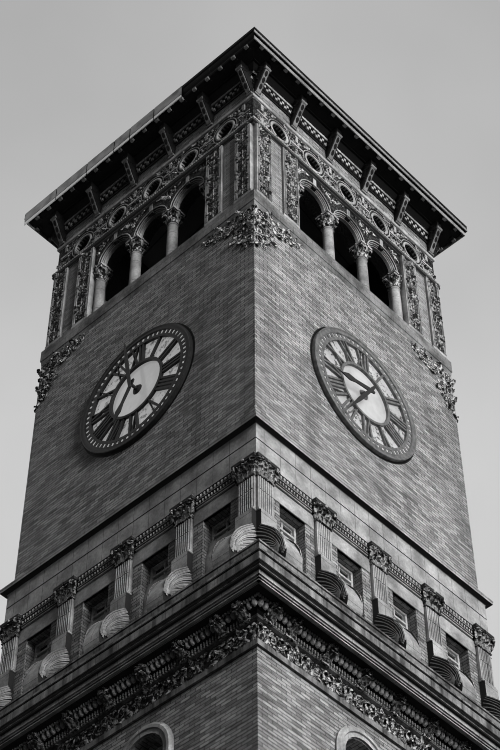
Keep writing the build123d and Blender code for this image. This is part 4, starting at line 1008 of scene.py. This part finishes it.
# Walls over the columns: cut terracotta up to the moulding over the round openings, then brick.
# Behind their face, round the bell chamber, they are painted black as shade.
FRIEZE_HEAD, INNER_FACE = 36.24, 2.89
frieze_walling, tree, shader = start_finish("cut_terracotta_and_brick", 0.78)
brick_colour, brick_relief = bricks(tree, *WALL_BRICK)
leaf_colour, leaf_relief = cut_leaves(tree, "4a4a4a", "0e0e0e", 12)
above = add(tree, "Math", (spot(tree)["Z"], FRIEZE_HEAD), operation="GREATER_THAN")
colour = add(tree, "Mix", (above, leaf_colour, brick_colour), data_type="RGBA")
reach = add(tree, "Math", unsigned(tree, spot(tree))[:2], operation="MAXIMUM")
inside = add(tree, "Math", (reach, INNER_FACE), operation="LESS_THAN")
colour = add(tree, "Mix", (inside, colour, "121212"), data_type="RGBA")
relief = add(tree, "Mix", (above, leaf_relief, brick_relief))
paint(tree, shader, colour, relief, 0.008)
for face in FACES:
    dress(nodes[f"upper_wall_{face}"], frieze_walling)

# Arches: stepped archivolts sunk in two orders behind a thin outer fillet, and a plain keystone
# from the fillet to the torus. Terracotta, each order a ring of its own.
ARCH_SPRING = 34.428
ORDERS = ((0.476, 0.507, 2.97, 2.998), (0.440, 0.466, 2.89, 2.968), (0.411, 0.431, 2.89, 2.940),
          (0.384, 0.405, 2.84, 2.917))
orders = []
for inner, outer, back, front in ORDERS:
    ease = 0.3 * (outer - inner)
    section = ((inner, back), (inner, front - ease), (inner + ease, front), (outer - ease, front),
               (outer, front - ease), (outer, back))
    orders.append(swung("archivolt", section, steps=20))
key = block("arch_keystone", (-0.052, 0.052), (2.97, 3.0), (0.47, 0.716))
arches = [dict(to=(x, 0, ARCH_SPRING)) for x in spaced(COLUMN_STEP, 3)]
fitted("arch_rings", [*orders, key], terracotta, places=arches)

# Spandrels between the arches: cut leaves and a scroll on each side of a small blank shield, cast
# with the blocks of the wall.
SPANDREL_FACE, OUTERMOST = 2.985, 1
spandrels = []
for across in spaced(COLUMN_STEP, 4):
    inside = -1 if across > 0 else 1
    ways, shift = ((-1, 1), 0) if abs(across) < OUTERMOST else ((inside,), inside * 0.02)
    for way in ways:
        spandrels += sprigs(across, way, SPANDREL_FACE, (
            (scroll, 0.13, 35.02, 0.105, 0.10, 0.105, 0.3), (leaf, 0.03, 34.93, 0.13, 0.10, 0.24, 1),
            (leaf, 0.25, 35.13, 0.10, 0.09, 0.15, 2.2)))
    spandrels.append(egg("spandrel_shield", 0.10, 0.13, 0.03, (across + shift, SPANDREL_FACE, 34.86)))
fitted("spandrel_foliage", spandrels, cut_terracotta)

# Mouldings over the arches and under the eaves: terracotta, painted black as shade in the courses that lie
# back and under the torus.
# The torus has a smooth underside, and a thin roll of small leaves along its top edge.
MOULDING_SHADE = ((36.62, 36.96), (37.054, 37.30), (35.147, 35.252))
TORUS = [(-3.06, 3.040 + 0.026 * math.cos(a), 35.305 + 0.034 * math.sin(a))
         for a in (math.pi / 4 * k for k in range(8))]
bed_clay = coursed("bed_terracotta", "d6d6d6", "929292", 0.6, MOULDING_SHADE)
dress(nodes["upper_mouldings"], bed_clay)
torus = [run("torus_roll", TORUS, (6.12, 0, 0)),
         row(egg("torus_leaf", 0.044, 0.066, 0.016, (0, 3.060, 35.303)), 99, 0.0612)]
fitted("torus_leaves", torus, terracotta)

# Frieze: five round openings a face in moulded rings, tied by a narrow band. Above the band, leaves
# spread from short upright shields; below it a fan of leaves stands between two scrolls.
FRIEZE_FACE, OCULUS_UP, OCULUS_STEP, OUTER_TIE = 2.985, 35.740, 1.089, 2.5
OCULUS = (((0.218, 2.90), (0.218, 2.985), (0.235, 3.004), (0.262, 3.008), (0.284, 2.998), (0.290, 2.97)),
          ((0.328, 2.97), (0.328, 2.998), (0.350, 2.998), (0.350, 2.97)))
oculus = joined("oculus_ring", [swung("oculus_ring", section, 0, 2 * math.pi, 28) for section in OCULUS])
rings = set_out(oculus, [dict(to=(x, 0, OCULUS_UP)) for x in spaced(OCULUS_STEP, 5)])
rims = [block("frieze_fillet", (-2.99, 2.99), (2.98, 3.0), (up, up + 0.020), 0.004)
        for up in (35.362, 36.172)]
ties, foliage = [], []
for across in spaced(OCULUS_STEP, 6):
    edge = abs(across) > OUTER_TIE
    reach = 0.17 if edge else 0.193
    ties += [block("frieze_tie", (across - reach, across + reach), (2.98, 3.006),
                   (OCULUS_UP + low, OCULUS_UP + high), 0.005)
             for low, high in ((0.035, 0.095), (-0.030, -0.004))]
    ties.append(block("frieze_shield", (across - 0.042, across + 0.042), (2.98, 3.012),
                      (35.93, 36.165), 0.010))
    for side in (-1, 1):
        if edge and side * across > 0:
            continue
        foliage += sprigs(across, side, FRIEZE_FACE, (
            (scroll, 0.165, 36.02, 0.115, 0.13, 0.12, 0), (leaf, 0.22, 36.10, 0.12, 0.11, 0.24, 1.45),
            (leaf, 0.05, 35.86, 0.12, 0.11, 0.20, 0.5), (scroll, 0.215, 35.48, 0.10, 0.12, 0.10, 0),
            (leaf, 0.28, 35.40, 0.11, 0.11, 0.20, 1.3)))
    foliage += [copied(leaf, (across, FRIEZE_FACE, 35.39), (0.15, 0.13, 0.31), tip)
                for tip in (-0.95, -0.48, 0, 0.48, 0.95)]
fitted("oculus_frieze", rings + rims + ties, terracotta)
fitted("frieze_foliage", foliage, weathered_leafage)

# Bed mouldings under the eaves: two rows of billets set as a chequer, and a fillet over them. The
# same terracotta, set in lengths between the brackets.
billets = [row(block("billet", (shift - 0.034, shift + 0.034), (3.01, 3.062), (up, up + 0.088), 0.008),
               41, 0.145) for up, shift in ((36.768, 0), (36.866, 0.0725))]
billets.append(block("bed_fillet", (-3.085, 3.085), (3.0, 3.085), (36.968, 37.048)))
fitted("bed_billets", billets, terracotta)


# Eaves brackets: raking terracotta arms, their bodies and cheeks painted near black as shade. The underside
# is sunk in three oval coffers, painted black as shade, between thin pale edges, a leaf lies on each cheek,
# and the foot ends in a small plain chin.
RAKE_FOOT, RAKE_TOP = Vector((3.025, 36.383)), Vector((3.325, 36.995))
BRACKETS = [dict(to=(x, 0, 0)) for x in spaced(1.159, 6)]
NOSE = [(-0.084, 3.335 + 0.032 * math.cos(a), 37.05 + 0.05 * math.sin(a))
        for a in (math.pi / 5 * k for k in range(10))]
rake = RAKE_TOP - RAKE_FOOT
lean = math.atan2(rake.x, rake.y)
coffers = [RAKE_FOOT + rake * (0.30 + 0.27 * index) for index in range(3)]
bracket = [run("bracket_nose", NOSE, (0.168, 0, 0)),
           block("bracket_chin", (-0.083, 0.083), (2.98, 3.045), (36.345, 36.400), 0.010)]
bracket += set_out(block("bracket_face", (-0.060, 0.060), (-0.012, 0.014), (0.03, 0.69)),
                   [dict(to=(0, RAKE_FOOT.x, RAKE_FOOT.y), lean=lean)])
hollows = set_out(egg("bracket_hollow", 0.090, 0.170, 0.008),
                  [dict(to=(0, place.x + 0.014, place.y), lean=lean) for place in coffers])
coffer_shade = fired("painted_coffer_shade", "1c1c1c", "121212", most=0.9, shade_and_soot="080808")
fitted("bracket_hollows", hollows, coffer_shade, places=BRACKETS)
cheeks = []
for side in (-1, 1):
    cheeks.append(copied(curl, (side * 0.080, 3.25, 37.08), (1.5 * side, 1, 1.5), turn=math.pi / 2))
    cheeks += [copied(leaf, (side * 0.076, out, up), (0.15, 0.12, size), 0.45, turn=side * math.pi / 2)
               for out, up, size in ((3.03, 36.52, 0.26), (3.06, 36.74, 0.28), (3.12, 36.93, 0.24))]
bracket_clay = fired("bracket_terracotta", "a4a4a4", "606060", 3.0, most=0.6, shade_and_soot="303030")
fitted("bracket_ornament", bracket, bracket_clay, places=BRACKETS)
shade_black_terracotta = fired("shade_black_terracotta", "262626", "141414", 3.0, most=0.95, shade_and_soot="0a0a0a")
dress(nodes["eave_brackets"], shade_black_terracotta)
fitted("bracket_cheeks", cheeks, shade_black_terracotta, places=BRACKETS)

# Eaves: pressed and painted sheet metal on a timber frame. Two bare bands and a dark lip run along
# the crown, small blocks stand under its edge, and most of the left face has a renewed gutter.
SHEET_LENGTH, SHEET_THICK = 0.9, 0.018
GUTTER_JOINTS, GUTTER_FACE, GUTTER_LIP = (-3.62, -2.55, -1.55, -0.667, -0.167, 0.583, 1.444), 3.634, 37.24
sheet_metal = fired("painted_pressed_metal", "181818", "0c0c0c", SHEET_LENGTH, most=0.95, shade_and_soot="060606")
dress(nodes["eaves"], sheet_metal)
bands = [flat_band("eaves_band", (-out, out), out, up, SHEET_THICK)
         for out, up in ((3.575, (37.212, 37.330)), (3.622, (37.378, 37.468)))]
pale_metal = fired("bare_pressed_metal", "b0b0b0", "888888", SHEET_LENGTH, most=0.4, shade_and_soot="505050")
fitted("eaves_bands", bands, pale_metal, quarters=(0, 1, 2))
gutter = [flat_band("gutter_length", (start + 0.03, end), GUTTER_FACE, up, SHEET_THICK)
          for start, end in zip(GUTTER_JOINTS, GUTTER_JOINTS[1:])
          for up in ((37.13, 37.225), (37.25, 37.576))]
zinc, tree, shader = start_finish("galvanised_sheet", 0.35, 1.5)
wire(tree, shader, {"Metallic": 0.9})
stain = add(tree, "MapRange", (noise(tree, 3.5, 5), 0.4, 0.68))
colour = add(tree, "Mix", (stain, "949494", "585858"), data_type="RGBA")
lower = add(tree, "Math", (spot(tree)["Z"], GUTTER_LIP), operation="LESS_THAN")
colour = add(tree, "Mix", (lower, colour, "e0e0e0"), data_type="RGBA")
paint(tree, shader, colour, noise(tree, 20, 3), 0.002)
fitted("renewed_gutter", gutter, zinc, quarters=(3,))
# The row of small dark blocks behind the guttae stands for the guttae's painted shadows on the soffit.
trim = [flat_band("eaves_lip", (-3.622, 3.622), 3.622, (37.50, 37.584), SHEET_THICK),
        block("soffit_bead", (-3.22, 3.22), (3.19, 3.22), (37.25, 37.268)),
        row(block("gutta_shadow_block", (-0.05, 0.05), (3.40, 3.46), (37.235, 37.268), 0.008), 18, 0.3863)]
fitted("eaves_trim", trim, sheet_metal)
# The guttae are painted much paler than the other sheet metal, as painted light on them in the shade of the
# eaves.
guttae = row(block("soffit_gutta", (-0.05, 0.05), (3.48, 3.548), (37.214, 37.29), 0.008), 18, 0.3863)
painted_light_metal = fired("painted_light_pressed_metal", "989898", "686868", SHEET_LENGTH, most=0.15, shade_and_soot="3a3a3a")
fitted("eaves_guttae", [guttae], painted_light_metal)


# Roof: a low hipped roof of weathered sheet copper on boards, laid in trays whose standing seams
# run down each slope.
roof_metal, tree, shader = start_finish("weathered_sheet_copper", 0.55)
seams = add(tree, "TexBrick", {"Vector": wall_place(tree), "Scale": 1.0, "Mortar Size": 0.02,
                               "Brick Width": 0.55, "Row Height": NO_JOINTS}).outputs["Fac"]
tone = add(tree, "Mix", (noise(tree, 1.5, 5), "4a4a4a", "6e6e6e"), data_type="RGBA")
colour = add(tree, "Mix", (seams, tone, "383838"), data_type="RGBA")
paint(tree, shader, colour, seams, 0.02)
dress(nodes["roof"], roof_metal)

# The loose patterns of leaf and scroll aren't part of the tower.
for pattern in (leaf, curl, scroll):
    bpy.data.objects.remove(pattern)
